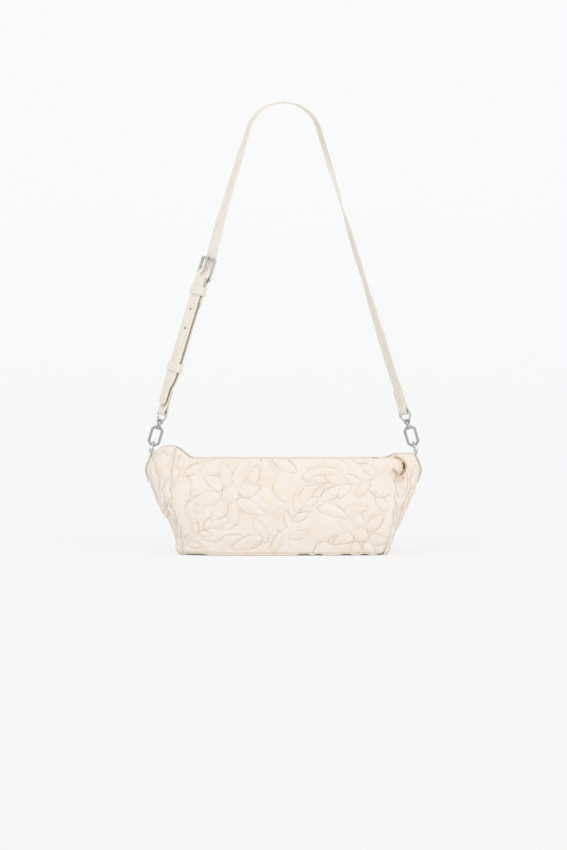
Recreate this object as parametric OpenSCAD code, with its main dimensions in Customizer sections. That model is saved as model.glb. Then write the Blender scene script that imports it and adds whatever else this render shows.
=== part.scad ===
// Zip-top baguette bag with quilted walls and a buckled strap on two gate clips.
// Millimetres. Z is up, the bag's length runs along X and its front looks towards -Y.
// The origin is the middle of the base, on the surface the bag stands on.

/* [Bag] */
// Length of the base
base_len = 228; // [200:1:250]
// Depth of the base
base_depth = 84; // [70:1:96]
// Height of the wall at mid-length
bag_h = 106; // [90:1:125]
// Length across the widest level of the bag
widest_len = 302; // [280:1:320]
// Depth of the mouth at mid-length
mouth_depth = 42; // [36:1:56]
// Rise of the two puffed ears above the middle of the rim
ear_rise = 14; // [6:0.5:18]
// Thickness of the padded wall
wall = 2.4; // [1.6:0.1:3.5]

/* [Inside] */
// Thickness of the base panel
base_t = 2; // [1.2:0.1:3]
// Thickness of the stiffening board
board_t = 1.5; // [1:0.1:3]
// Thickness of the lining
lining_t = 0.8; // [0.6:0.1:1.4]
// Room left between one soft layer and the next
soft_gap = 0.6; // [0.4:0.05:0.9]
// Width of the slip pocket
pocket_w = 112; // [80:1:150]
// Height of the slip pocket
pocket_h = 52; // [35:1:60]
// Thickness of the pocket's two flat layers
pocket_t = 1; // [0.8:0.1:1.6]
// Depth of the facing band under the rim
facing_h = 14; // [11:0.5:20]
// Thickness of the facing band
facing_t = 1.2; // [0.8:0.1:1.8]

/* [Zip] */
// Length of the two tapes
zip_len = 220; // [180:1:228]
// Height of the tapes above the surface the bag stands on, below the rim
zip_drop = 8; // [6:0.5:10]
// Thickness of a tape
tape_t = 0.8; // [0.6:0.1:1.2]
// Height of the row of teeth
chain_h = 2.2; // [1.8:0.1:3]
// Distance from one tooth to the next in a row
tooth_pitch = 4; // [3:0.5:6]
// Length of the slider
slider_len = 12; // [10:0.5:15]
// Thickness of the slider's plates
slider_t = 1.2; // [0.9:0.1:1.6]
// Length of the pull
pull_len = 24; // [16:1:32]
// Width of the pull
pull_w = 5; // [4:0.5:8]

/* [Rings and tabs] */
// Radius of the ring wire
wire_r = 1.2; // [1:0.05:1.35]
// Radius of a ring's arc
ring_r = 9.9; // [9.7:0.1:10.4]
// Width of the two ring tabs
tab_w = 13; // [10:0.5:14]
// Thickness of one layer of a ring tab
tab_t = 1.2; // [1:0.1:1.5]
// Height of the tab's sewn part
tab_h = 30; // [20:1:40]

/* [Clips] */
// Width of a clip
clip_w = 14; // [13:0.5:18]
// Height of a clip
clip_h = 23; // [22:0.5:30]
// Width of the clip's bar
clip_bar = 2.8; // [2.4:0.1:3]
// Thickness of the clip's bar
clip_t = 2.8; // [2.6:0.1:3.4]
// Length of the corner cut, measured along the side
clip_cut = 4; // [3:0.1:4.5]
// Length of the gate
gate_len = 10.8; // [9:0.1:12]
// Radius of the gate's pin
pin_r = 0.5; // [0.4:0.05:0.6]
// Radius of the hole in the swivel eye
eye_r = 1.9; // [1.8:0.05:2.3]

/* [Strap] */
// Height of the strap's top above the base
strap_top = 494; // [420:1:600]
// Radius of the bend at the strap's top
bend_r = 40; // [30:1:55]
// Width of the strap
strap_w = 14.4; // [12:0.1:14.6]
// Thickness of the strap
strap_t = 1.8; // [1.4:0.1:2]
// Turn of the strap's two ends about its own length
strap_turn = 50; // [0:1:55]
// Length of the short strap from its ring to the buckle
short_len = 153; // [130:1:190]
// Length of the tail below the buckle
tail_len = 145; // [110:1:148]
// Distance between two strap holes
hole_pitch = 22; // [18:1:30]
// Radius of a strap hole
hole_r = 1.2; // [1:0.1:1.6]

/* [Buckle] */
// Length of the buckle between its two bars
buckle_len = 24; // [22:0.5:30]
// Thickness of the buckle's bars
buckle_bar = 2.4; // [2:0.1:2.6]
// Radius of the prong
prong_r = 0.9; // [0.7:0.05:1]
// Height of a keeper
keeper_h = 10; // [6:0.5:12]
// Thickness of a keeper
keeper_t = 1.3; // [1:0.1:2]
// Height of the sliding keeper above the short strap's ring
keeper_at = 52; // [48:1:110]

/* [Hidden] */

// Clearances
run_gap = 0.05;
part_gap = 0.2;
loop_gap = 0.3;
link_gap = 1;
hem_gap = 0.8;

// Places of the pocket, the facing ends and the fixed keeper
pocket_drop = 8;
facing_over = 9;
keeper_drop = 8;
$fn = 40;

// Colours
cream = [0.95, 0.91, 0.85];
lining_col = [0.90, 0.86, 0.79];
strap_col = [0.92, 0.89, 0.83];
silver = [0.75, 0.76, 0.78];
pale = [0.88, 0.83, 0.76];

// Outline of the bag. t runs from 0 at the base to 1 at the rim.
len_curve = [[0, 0], [0.1, 0.09], [0.3, 0.33], [0.65, 0.8], [0.85, 1], [1, 0.81]];
dep_curve = [[0, 1], [0.2, 1.06], [0.5, 0.82], [0.8, 0.36], [1, 0]];
function smooth(v) = let(c = max(0, min(1, v))) c * c * (3 - 2 * c);
function half_len(t) = base_len / 2 + (widest_len - base_len) / 2 * lookup(t, len_curve);
function half_dep(t) = mouth_depth / 2 + (base_depth - mouth_depth) / 2 * lookup(t, dep_curve);
function squareness(t) = 6 - 3 * t;
function ear(r) = ear_rise * smooth((r - 0.62) / 0.2) * (1 - 0.8 * smooth((r - 0.9) / 0.1));
function level(t, r) = t * (bag_h + ear(r) * t * t);
function level_t(z) = z / bag_h;
seam_curve = [[0, 0.945], [0.1, 0.956], [0.3, 0.938], [0.5, 0.89], [0.725, 0.833], [0.85, 0.803], [1, 0.815]];
function seam_at(t) = half_len(t) * lookup(t, seam_curve);

// Half-depth of the bag at x and level t, drawn in by inset.
function depth_at(x, t, inset) =
    let(a = half_len(t) - inset, b = half_dep(t) - inset, n = squareness(t))
    b * pow(max(0, 1 - pow(min(1, abs(x) / a), n)), 1 / n);

// A point of the front (side = -1) or back (side = 1) wall.
function wall_pt(x, t, inset, side) =
    [x, side * depth_at(x, t, inset), level(t, abs(x) / (half_len(t) - inset))];

// A point by angle round the bag, 0 at the +X end and 90 at the back.
function ring_x(ang, t, inset) =
    (half_len(t) - inset) * sign(cos(ang)) * pow(abs(cos(ang)), 2 / squareness(t));
function ring_y(ang, t, inset) =
    (half_dep(t) - inset) * sign(sin(ang)) * pow(abs(sin(ang)), 2 / squareness(t));
function ring_pt(ang, t, inset) =
    let(x = ring_x(ang, t, inset))
    [x, ring_y(ang, t, inset), level(t, abs(x) / (half_len(t) - inset))];

// Angle at which the end seam lies at level t.
function seam_angle(t) = acos(pow(seam_at(t) / half_len(t), squareness(t) / 2));

// Closed sheet between two equal grids of points, rows going up and columns going round.
function tri(q) = [[q[0], q[1], q[2]], [q[0], q[2], q[3]]];
function flat_list(l) = [for (a = l) for (b = a) b];
function grid_faces(rows, cols, wrap) =
    let(
        n = rows * cols,
        last = wrap ? cols - 1 : cols - 2,
        id = function(k, i, j) k * n + i * cols + j % cols
    )
    flat_list([
        for (i = [0:rows - 2]) for (j = [0:last])
            tri([id(0, i, j), id(0, i + 1, j), id(0, i + 1, j + 1), id(0, i, j + 1)]),
        for (i = [0:rows - 2]) for (j = [0:last])
            tri([id(1, i, j), id(1, i, j + 1), id(1, i + 1, j + 1), id(1, i + 1, j)]),
        for (j = [0:last])
            tri([id(0, 0, j), id(0, 0, j + 1), id(1, 0, j + 1), id(1, 0, j)]),
        for (j = [0:last]) let(i = rows - 1)
            tri([id(0, i, j + 1), id(0, i, j), id(1, i, j), id(1, i, j + 1)]),
        if (!wrap) each [for (i = [0:rows - 2])
            tri([id(0, i + 1, 0), id(0, i, 0), id(1, i, 0), id(1, i + 1, 0)])],
        if (!wrap) each [for (i = [0:rows - 2]) let(j = cols - 1)
            tri([id(0, i, j), id(0, i + 1, j), id(1, i + 1, j), id(1, i, j)])]
    ]);
function turned(faces) = [for (f = faces) [f[2], f[1], f[0]]];
module sheet(outer, inner, flip = false, wrap = false) {
    rows = len(outer);
    cols = len(outer[0]);
    faces = grid_faces(rows, cols, wrap);
    polyhedron(points = concat(flat_list(outer), flat_list(inner)), faces = flip ? turned(faces) : faces);
}

// Rows of the walls, from base to rim.
rows_all = [0, 0.1, 0.2, 0.3, 0.4, 0.5, 0.575, 0.65, 0.725, 0.8, 0.85, 0.925, 1];
panel_cols = 32;
gusset_cols = 14;

function crowded(v) = sign(v) * (1 - pow(1 - abs(v), 1.6));
module long_panel(side) {
    grid = function(inset) [
        for (t = rows_all) [
            for (j = [0:panel_cols])
                wall_pt(seam_at(t) * crowded(2 * j / panel_cols - 1), t, inset, side)
        ]
    ];
    sheet(grid(0), grid(wall), flip = side > 0);
}
module front_panel() {
    color(cream) long_panel(-1);
}
module back_panel() {
    color(cream) long_panel(1);
}

// End wall from seam to seam. The points crowd towards the two seams.
module gusset() {
    grid = function(inset) [
        for (t = rows_all) [
            for (j = [0:gusset_cols])
                let(v = 2 * j / gusset_cols - 1)
                let(ang = seam_angle(t) * sign(v) * pow(abs(v), 1.25))
                inset == 0 || abs(v) < 1 ? ring_pt(ang, t, inset)
                    : wall_pt(seam_at(t), t, inset, sign(v))
        ]
    ];
    sheet(grid(0), grid(wall));
}
module right_gusset() {
    color(cream) gusset();
}
module left_gusset() {
    color(cream) mirror([1, 0, 0]) gusset();
}

// Flat layers of the base.
module base_layer(inset, z, thick) {
    translate([0, 0, z])
        linear_extrude(thick)
            polygon([for (k = [0:71]) [ring_x(k * 5 + 2.5, 0, inset), ring_y(k * 5 + 2.5, 0, inset)]]);
}
board_z = base_t + loop_gap;
floor_z = board_z + board_t + loop_gap;
lining_z = floor_z + lining_t + loop_gap;
module base_panel() {
    color(cream) base_layer(wall + loop_gap, 0, base_t);
}
module base_board() {
    color(pale) base_layer(wall + 1, board_z, board_t);
}
module lining_floor() {
    color(lining_col) base_layer(wall + soft_gap + lining_t, floor_z, lining_t);
}

// Lining walls, from the floor to just under the facings.
lining_in = wall + soft_gap;
facing_z = bag_h - facing_h;
lining_top = facing_z - hem_gap;
lining_rows = [
    level_t(lining_z),
    for (t = rows_all) if (t > level_t(lining_z) + 0.01 && t < level_t(lining_top) - 0.01) t,
    level_t(lining_top)
];
module lining() {
    grid = function(inset) [
        for (t = lining_rows) [
            for (k = [0:63])
                ring_pt(k * 360 / 64 + 360 / 128, t, inset)
        ]
    ];
    color(lining_col) sheet(grid(lining_in), grid(lining_in + lining_t), wrap = true);
}

// Slip pocket on the back lining.
pocket_in = lining_in + lining_t + soft_gap;
pocket_top = lining_top - pocket_drop;
module inner_pocket() {
    rows = [for (k = [0:5]) level_t(pocket_top - pocket_h + pocket_h * k / 5)];
    grid = function(inset) [
        for (t = rows) [for (j = [0:12]) wall_pt(pocket_w * (j / 12 - 0.5), t, inset, 1)]
    ];
    color(lining_col) sheet(grid(pocket_in), grid(pocket_in + pocket_t), flip = true);
}

// Facing bands under the rim, which carry the zip.
facing_in = wall + loop_gap;
facing_len = zip_len + 2 * facing_over;
module facing(side) {
    rows = [for (k = [0:3]) level_t(facing_z + (facing_h - 1) * k / 3)];
    grid = function(inset) [
        for (t = rows) [for (j = [0:20]) wall_pt(facing_len * (j / 20 - 0.5), t, inset, side)]
    ];
    color(lining_col) sheet(grid(facing_in), grid(facing_in + facing_t), flip = side > 0);
}
module front_facing() {
    facing(-1);
}
module back_facing() {
    facing(1);
}

// Zip. The tapes reach from the facings to the chain.
zip_z = bag_h - zip_drop;
zip_t = level_t(zip_z + tape_t);
chain_half = 3;
tape_in = facing_in + facing_t + loop_gap;
function tape_edge(x) = depth_at(x, level_t(zip_z), tape_in) - loop_gap;
module tape(side) {
    cells = 22;
    color(lining_col)
        translate([0, 0, zip_z])
            linear_extrude(tape_t)
                polygon(concat(
                    [[-zip_len / 2, side * (chain_half + loop_gap)], [zip_len / 2, side * (chain_half + loop_gap)]],
                    [for (k = [0:cells])
                        let(x = zip_len * (0.5 - k / cells)) [x, side * min(tape_edge(x), depth_at(x, zip_t, tape_in))]]
                ));
}
module front_zip_tape() {
    tape(-1);
}
module back_zip_tape() {
    tape(1);
}

// One row of teeth: a spine with teeth that reach past the middle.
teeth_start = -zip_len / 2 + 6;
teeth_end = zip_len / 2 - 8;
chain_z = zip_z + tape_t / 2 - chain_h / 2;
tooth_w = tooth_pitch / 2 - 0.35;
module teeth(side) {
    first = teeth_start + (side > 0 ? tooth_pitch / 2 : 0) + 0.4;
    count = floor((teeth_end - first - tooth_w) / tooth_pitch);
    color(silver)
        translate([0, 0, chain_z])
            linear_extrude(chain_h)
                polygon(concat(
                    [[teeth_end, side * 1.5], [teeth_end, side * chain_half],
                     [teeth_start, side * chain_half], [teeth_start, side * 1.5]],
                    [for (k = [0:count]) let(x = first + k * tooth_pitch)
                        each [[x, side * 1.5], [x + 0.2, -side * 0.9],
                              [x + tooth_w - 0.2, -side * 0.9], [x + tooth_w, side * 1.5]]]
                ));
}
module front_zip_teeth() {
    teeth(-1);
}
module back_zip_teeth() {
    teeth(1);
}

// Slider: two flanged plates joined by a post, with a bridge for the pull.
slider_x = zip_len / 2 - slider_len / 2 - 3;
slider_half = chain_half + 1.8;
plate_gap = chain_h / 2 + 0.4;
zip_mid = zip_z + tape_t / 2;
bridge_h = 3.2;
pivot_z = zip_mid + plate_gap + slider_t + 1.1;
module slider_half_profile() {
    polygon([
        [-slider_half, 0.7], [-slider_half + 1, 0.7], [-slider_half + 1, plate_gap],
        [slider_half - 1, plate_gap], [slider_half - 1, 0.7], [slider_half, 0.7],
        [slider_half, plate_gap + slider_t], [-slider_half, plate_gap + slider_t]
    ]);
}
module zip_slider() {
    color(silver)
        translate([slider_x, 0, zip_mid]) {
            difference() {
                union() {
                    rotate([90, 0, 90])
                        linear_extrude(slider_len, center = true)
                            slider_half_profile();
                    rotate([90, 0, 90])
                        linear_extrude(slider_len, center = true)
                            mirror([0, 1]) slider_half_profile();
                    translate([slider_len / 2 - 2.2, -0.8, -plate_gap - 0.3])
                        cube([2, 1.6, 2 * plate_gap + 0.6]);
                    translate([-3.2, -1, plate_gap + slider_t - 0.2])
                        cube([6.4, 2, bridge_h + 0.2]);
                }
                translate([-1.7, -2, plate_gap + slider_t])
                    cube([3.4, 4, bridge_h - 1]);
            }
        }
}
module zip_pull() {
    color(silver)
        translate([slider_x, 0, pivot_z]) {
            rotate([90, 0, 0])
                cylinder(h = 4.4, r = 0.7, center = true);
            difference() {
                translate([-pull_len, -pull_w / 2, -0.6])
                    cube([pull_len + 0.7, pull_w, 1.2]);
                translate([-4.1, -1.3, -1])
                    cube([6, 2.6, 2]);
                translate([-pull_len + 4, 0, -1])
                    cylinder(h = 2, r = 1.2);
            }
            rotate([90, 0, 0])
                cylinder(h = 2.6, r = 0.7, center = true);
        }
}
module zip_end_stop() {
    color(silver)
        translate([teeth_start - 3, -chain_half, chain_z - 0.3])
            cube([2.6, 2 * chain_half, chain_h + 0.6]);
}
module zip_tab(side) {
    x0 = zip_len / 2 + loop_gap;
    x1 = facing_len / 2;
    color(lining_col)
        translate([0, 0, zip_z - 0.3])
            linear_extrude(tape_t + 0.6)
                polygon(concat(
                    [for (k = [0:4]) let(x = x0 + (x1 - x0) * k / 4) [side * x, tape_edge(x) - 0.2]],
                    [for (k = [4:-1:0]) let(x = x0 + (x1 - x0) * k / 4) [side * x, -tape_edge(x) + 0.2]]
                ));
}
module left_zip_tab() {
    zip_tab(-1);
}
module right_zip_tab() {
    zip_tab(1);
}

// Line of the strap: straight from each ring tab to the bend at the top.
loop_in = wire_r + loop_gap;
ring_at_x = half_len(1) + loop_gap + tab_t;
ring_at_z = bag_h + ear(1) + loop_in + tab_t + 0.7;
bend_z = strap_top - strap_t / 2 - bend_r;
centre_dist = norm([ring_at_x, bend_z - ring_at_z]);
lean = atan2(ring_at_x, bend_z - ring_at_z) - asin(bend_r / centre_dist);
line_len = sqrt(centre_dist * centre_dist - bend_r * bend_r);
module at_side(side) {
    mirror([side < 0 ? 1 : 0, 0, 0])
        translate([ring_at_x, 0, ring_at_z])
            rotate([0, -lean, 0])
                children();
}

// Ribbon outline: both edges of a band of thickness t along a bent line.
function dir(p, i) =
    let(a = p[max(0, i - 1)], b = p[min(len(p) - 1, i + 1)], d = b - a) d / norm(d);
function edge(p, off) = [for (i = [0:len(p) - 1]) let(d = dir(p, i)) p[i] + off * [-d[1], d[0]]];

// Ring tab: a band folded over the ring's bar and sewn flat to the outside of the gusset.
module ring_tab() {
    t_low = 1 - tab_h / bag_h;
    stops = [t_low, for (t = rows_all) if (t > t_low + 0.02) t];
    steps = len(stops) - 1;
    line = concat(
        [[ring_at_x, ring_at_z - loop_in - 0.4]],
        [for (k = [steps:-1:0]) let(t = stops[k])
            [half_len(t) + loop_gap + tab_t + 0.4 * (1 - t) / (1 - t_low), level(t, 1)]]
    );
    translate([0, tab_w / 2, 0])
        rotate([90, 0, 0])
            linear_extrude(tab_w)
                polygon(concat(edge(line, tab_t), [for (k = [steps + 1:-1:0]) edge(line, -tab_t)[k]]));
    translate([ring_at_x, 0, ring_at_z])
        rotate([90, 0, 0])
            difference() {
                cylinder(h = tab_w, r = loop_in + tab_t, center = true);
                cylinder(h = tab_w + 1, r = loop_in, center = true);
            }
}
module right_ring_tab() {
    color(cream) ring_tab();
}
module left_ring_tab() {
    color(cream) mirror([1, 0, 0]) ring_tab();
}

// Half-round ring: a bar along Y and an arc over it.
module d_ring() {
    rotate([90, 0, 0])
        cylinder(h = 2 * ring_r, r = wire_r, center = true);
    rotate([90, 0, 90])
        rotate_extrude(angle = 180)
            translate([ring_r, 0])
                circle(wire_r);
    for (s = [-1, 1])
        translate([0, s * ring_r, 0])
            sphere(wire_r * 1.05);
}
module right_bag_ring() {
    color(silver) at_side(1) d_ring();
}
module left_bag_ring() {
    color(silver) at_side(-1) d_ring();
}

// Clip: an eight-sided frame with a sprung gate on its inner side and a swivel eye on top.
clip_z0 = ring_r - wire_r - link_gap - clip_bar;
clip_mid = clip_z0 + clip_h / 2;
clip_top = clip_z0 + clip_h;
gate_x = -clip_w / 2 + clip_bar / 2;
gate_pivot_z = clip_mid + gate_len / 2 - 1.4;
tongue_t = 1.3;
boss_h = 1.2;
post_r = 1;
head_h = 1;
eye_out = eye_r + 1.5;
eye_z = clip_top + boss_h + part_gap + eye_out;
module octagon(w, h, c) {
    polygon([
        [-w / 2 + c, -h / 2], [w / 2 - c, -h / 2], [w / 2, -h / 2 + c], [w / 2, h / 2 - c],
        [w / 2 - c, h / 2], [-w / 2 + c, h / 2], [-w / 2, h / 2 - c], [-w / 2, -h / 2 + c]
    ]);
}
module clip_body() {
    inner_cut = clip_cut - clip_bar * (2 - sqrt(2));
    difference() {
        union() {
            translate([0, 0, clip_mid])
                rotate([90, 0, 0])
                    linear_extrude(clip_t, center = true)
                        difference() {
                            octagon(clip_w, clip_h, clip_cut);
                            octagon(clip_w - 2 * clip_bar, clip_h - 2 * clip_bar, inner_cut);
                        }
            translate([0, 0, clip_top - clip_bar])
                cylinder(h = clip_bar + boss_h, r = post_r + 1.4);
        }
        translate([0, 0, clip_top - clip_bar - 1])
            cylinder(h = clip_bar + boss_h + 2, r = post_r + run_gap);
        translate([gate_x - clip_bar, -clip_t, clip_mid - gate_len / 2])
            cube([2 * clip_bar - 0.3, 2 * clip_t, gate_len - 2.6]);
        translate([gate_x - clip_bar, -tongue_t / 2 - 0.1, clip_mid + gate_len / 2 - 3])
            cube([2 * clip_bar - 0.3, tongue_t + 0.2, 3]);
        translate([gate_x, 0, gate_pivot_z])
            rotate([90, 0, 0])
                cylinder(h = clip_t + 1, r = pin_r, center = true);
    }
}
module clip_gate() {
    difference() {
        union() {
            translate([gate_x - clip_bar / 2, -clip_t / 2, clip_mid - gate_len / 2 + part_gap])
                cube([clip_bar, clip_t, gate_len - 3.7]);
            translate([gate_x - 1, -tongue_t / 2, clip_mid + gate_len / 2 - 4])
                cube([2, tongue_t, 2.6]);
            translate([gate_x, 0, gate_pivot_z])
                rotate([90, 0, 0])
                    cylinder(h = tongue_t, r = 1, center = true);
        }
        translate([gate_x, 0, gate_pivot_z])
            rotate([90, 0, 0])
                cylinder(h = clip_t + 1, r = pin_r + run_gap, center = true);
    }
}
module gate_pin() {
    translate([gate_x, 0, gate_pivot_z])
        rotate([90, 0, 0])
            cylinder(h = clip_t, r = pin_r, center = true);
}
module swivel_eye(turn) {
    rotate([0, 0, turn]) {
        difference() {
            union() {
                translate([0, 0, eye_z])
                    rotate([90, 0, 0])
                        cylinder(h = 2.4, r = eye_out, center = true);
                translate([0, 0, clip_top - clip_bar - part_gap - head_h])
                    cylinder(h = eye_z - eye_r - clip_top + clip_bar + part_gap + head_h - 0.2, r = post_r);
                translate([0, 0, clip_top - clip_bar - part_gap - head_h])
                    cylinder(h = head_h, r = post_r + 0.9);
            }
            translate([0, 0, eye_z])
                rotate([90, 0, 0])
                    cylinder(h = 4, r = eye_r, center = true);
        }
    }
}
module right_clip_body() {
    color(silver) at_side(1) clip_body();
}
module left_clip_body() {
    color(silver) at_side(-1) clip_body();
}
module right_clip_gate() {
    color(silver) at_side(1) clip_gate();
}
module left_clip_gate() {
    color(silver) at_side(-1) clip_gate();
}
module right_gate_pin() {
    color(silver) at_side(1) gate_pin();
}
module left_gate_pin() {
    color(silver) at_side(-1) gate_pin();
}
module right_swivel_eye() {
    color(silver) at_side(1) swivel_eye(turn_at(line_total));
}
module left_swivel_eye() {
    color(silver) at_side(-1) swivel_eye(turn_at(0));
}

// Strap rings hang the other way up, their arc through the swivel eye.
chain_len = eye_z + eye_r - wire_r - 0.1 + ring_r;
module strap_ring(turn) {
    translate([0, 0, chain_len])
        rotate([0, 0, turn])
            mirror([0, 0, 1])
                d_ring();
}
module right_strap_ring() {
    color(silver) at_side(1) strap_ring(turn_at(line_total));
}
module left_strap_ring() {
    color(silver) at_side(-1) strap_ring(turn_at(0));
}

// Strap line, measured from the left strap ring (0) over the top to the right one (line_total).
side_len = line_len - chain_len;
arc_len = bend_r * (180 - 2 * lean) * PI / 180;
line_total = 2 * side_len + arc_len;
function line_angle(s) =
    s <= side_len ? 180 - lean
    : s >= side_len + arc_len ? lean
    : 180 - lean - (s - side_len) / bend_r * 180 / PI;
function line_pos(s) =
    let(
        a = line_angle(s),
        c = [bend_r * cos(a), 0, bend_z + bend_r * sin(a)],
        left_over = s < side_len ? side_len - s : 0,
        right_over = s > side_len + arc_len ? s - side_len - arc_len : 0
    )
    c + left_over * [-sin(lean), 0, -cos(lean)] + right_over * [sin(lean), 0, -cos(lean)];
turn_curve = [
    [0, -0.64], [0.036, -0.64], [0.0525, -1], [0.25, -1], [0.3, -0.82], [0.33, -0.66], [0.36, -0.6],
    [0.39, -0.6], [0.42, -0.42], [0.46, -0.3], [0.5, -0.1], [0.57, -0.4], [0.63, -0.45], [0.67, -0.25],
    [0.7, 0.1], [0.73, 0.33], [0.77, 0.4], [0.8, 0.3], [0.83, 0.45], [0.88, 0.64], [1, 0.64]
];
function turn_at(s) = strap_turn * lookup(s / line_total, turn_curve);
function out_dir(s) =
    let(a = line_angle(s), w = turn_at(s)) [cos(a) * cos(w), sin(w), sin(a) * cos(w)];
function wide_dir(s) =
    let(a = line_angle(s), w = turn_at(s)) [-cos(a) * sin(w), cos(w), -sin(a) * sin(w)];
function strap_pt(p, y) = line_pos(p[0]) + p[1] * out_dir(p[0]) + y * wide_dir(p[0]);

// Closed band along a line of [distance, offset] points.
module band(path, width) {
    up = edge(path, strap_t / 2);
    down = edge(path, -strap_t / 2);
    n = len(path);
    pts = [
        for (i = [0:n - 1])
            each [
                strap_pt(up[i], -width / 2), strap_pt(up[i], width / 2),
                strap_pt(down[i], width / 2), strap_pt(down[i], -width / 2)
            ]
    ];
    sides = [for (i = [0:n - 2]) for (k = [0:3])
        each tri([4 * i + k, 4 * i + (k + 1) % 4, 4 * i + 4 + (k + 1) % 4, 4 * i + 4 + k])];
    m = 4 * (n - 1);
    polyhedron(
        points = pts,
        faces = concat(sides, tri([3, 2, 1, 0]), tri([m, m + 1, m + 2, m + 3]))
    );
}

// Fold of a strap end round a bar: from one layer to the other.
layer = strap_t / 2 + 0.05;
fold_r = loop_in + strap_t / 2;
function fold(at, d, side) = [
    for (q = [[7, -layer], [3.4, -fold_r * 0.72], [1.2, -fold_r * 0.97], [0, -fold_r],
              [-fold_r * 0.71, -fold_r * 0.71], [-fold_r, 0], [-fold_r * 0.71, fold_r * 0.71],
              [0, fold_r], [1.2, fold_r * 0.97], [3.4, fold_r * 0.72], [7, layer]])
        [at + d * q[0], side * q[1]]
];
fold_len = 26;
pivot_s = short_len;
short_path = concat(
    [[fold_len, -layer]],
    fold(0, 1, 1),
    [[fold_len + 1, layer], [fold_len + 5, layer * 0.7], [fold_len + 9, layer * 0.2], [fold_len + 13, 0],
     [fold_len + 18, 0], [pivot_s / 2, 0],
     [pivot_s - fold_len - 12, 0], [pivot_s - fold_len - 4, -layer]],
    fold(pivot_s, -1, 1),
    [[pivot_s - fold_len, layer]]
);

// Buckle.
tail_off = fold_r + strap_t + 0.35;
bar_s = pivot_s + buckle_len;
behind = buckle_bar / 2 + strap_t / 2 + part_gap;
prong_off = buckle_bar / 2 + prong_r + 0.15;
frame_half = strap_w / 2 + 0.9 + buckle_bar;
cross_s = pivot_s + 9;
straight_end = side_len * 0.58;
long_path = concat(
    [[pivot_s - tail_len, tail_off], for (k = [0:5]) [fold_len + 1 + 3.4 * k, tail_off], [pivot_s - 60, tail_off],
     [pivot_s - 10, tail_off], [pivot_s + 4, tail_off], [cross_s - 3, tail_off - 0.6],
     [cross_s + 3, -behind + 1.3], [cross_s + 6.4, -behind], [bar_s + 4, -behind],
     [bar_s + 20, -behind * 0.7], [bar_s + 40, 0]],
    [for (k = [0:14]) [bar_s + 48 + (side_len - 16 - bar_s - 48) * k / 14, 0]],
    [for (k = [0:24]) [side_len - 4 + (arc_len + 8) * k / 24, 0]],
    [for (k = [1:26]) [side_len + arc_len + 4 + (side_len - 4 - fold_len - 14) * k / 26, 0]],
    [[line_total - fold_len - 4, layer]],
    fold(line_total, -1, -1),
    [[line_total - fold_len, -layer]]
);
module at_strap(s) {
    at_side(-1)
        translate([0, 0, chain_len])
            rotate([0, 0, -strap_turn])
                translate([0, 0, s])
                    children();
}
module strap_long() {
    color(strap_col)
        difference() {
            band(long_path, strap_w);
            at_strap(cross_s)
                translate([-4, -prong_r - 0.4, -5.5])
                    cube([12, 2 * prong_r + 0.8, 9.9]);
            for (k = [-3, -2, 1])
                at_strap(cross_s + k * hole_pitch)
                    rotate([0, 90, 0])
                        cylinder(h = 16, r = hole_r, center = true, $fn = 16);
        }
}
module strap_short() {
    color(strap_col)
        difference() {
            band(short_path, strap_w);
            at_strap(pivot_s)
                translate([-5, -1.7, -7])
                    cube([10, 3.4, 12]);
        }
}
module buckle_frame() {
    color(silver) {
        at_strap(0)
            rotate([90, 0, 90])
                linear_extrude(buckle_bar, center = true)
                    polygon([
                        [-frame_half, pivot_s - 1.6], [-frame_half + buckle_bar, pivot_s - 1.6],
                        [-frame_half + buckle_bar, bar_s - buckle_bar / 2],
                        [frame_half - buckle_bar, bar_s - buckle_bar / 2],
                        [frame_half - buckle_bar, pivot_s - 1.6], [frame_half, pivot_s - 1.6],
                        [frame_half, bar_s - 0.6], [frame_half - 1.6, bar_s + buckle_bar / 2],
                        [-frame_half + 1.6, bar_s + buckle_bar / 2], [-frame_half, bar_s - 0.6]
                    ]);
        at_strap(pivot_s)
            rotate([90, 0, 0])
                cylinder(h = 2 * frame_half - 1, r = buckle_bar / 2, center = true);
    }
}
module buckle_prong() {
    loop_r = buckle_bar / 2 + run_gap;
    color(silver)
        at_strap(pivot_s)
            difference() {
                union() {
                    rotate([90, 0, 0])
                        cylinder(h = 2.4, r = loop_r + 1.1, center = true);
                    translate([prong_off, 0, -0.4])
                        cylinder(h = buckle_len + 2.6, r = prong_r);
                }
                rotate([90, 0, 0])
                    cylinder(h = 6, r = loop_r, center = true);
            }
}

// Keepers: bands round both layers of the strap.
module keeper(low, high) {
    rotate([0, 0, 0])
        difference() {
            translate([low - keeper_t, -strap_w / 2 - 0.4 - keeper_t, -keeper_h / 2])
                cube([high - low + 2 * keeper_t, strap_w + 0.8 + 2 * keeper_t, keeper_h]);
            translate([low, -strap_w / 2 - 0.4, -keeper_h])
                cube([high - low, strap_w + 0.8, 2 * keeper_h]);
        }
}
keeper_high = tail_off + strap_t / 2 + 0.3;
module fixed_keeper() {
    color(strap_col)
        at_strap(pivot_s - keeper_drop - keeper_h / 2)
            keeper(-layer - strap_t / 2 - 0.3, keeper_high);
}
module sliding_keeper() {
    color(strap_col)
        at_strap(keeper_at)
            keeper(-strap_t / 2 - 0.3, keeper_high);
}

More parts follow.
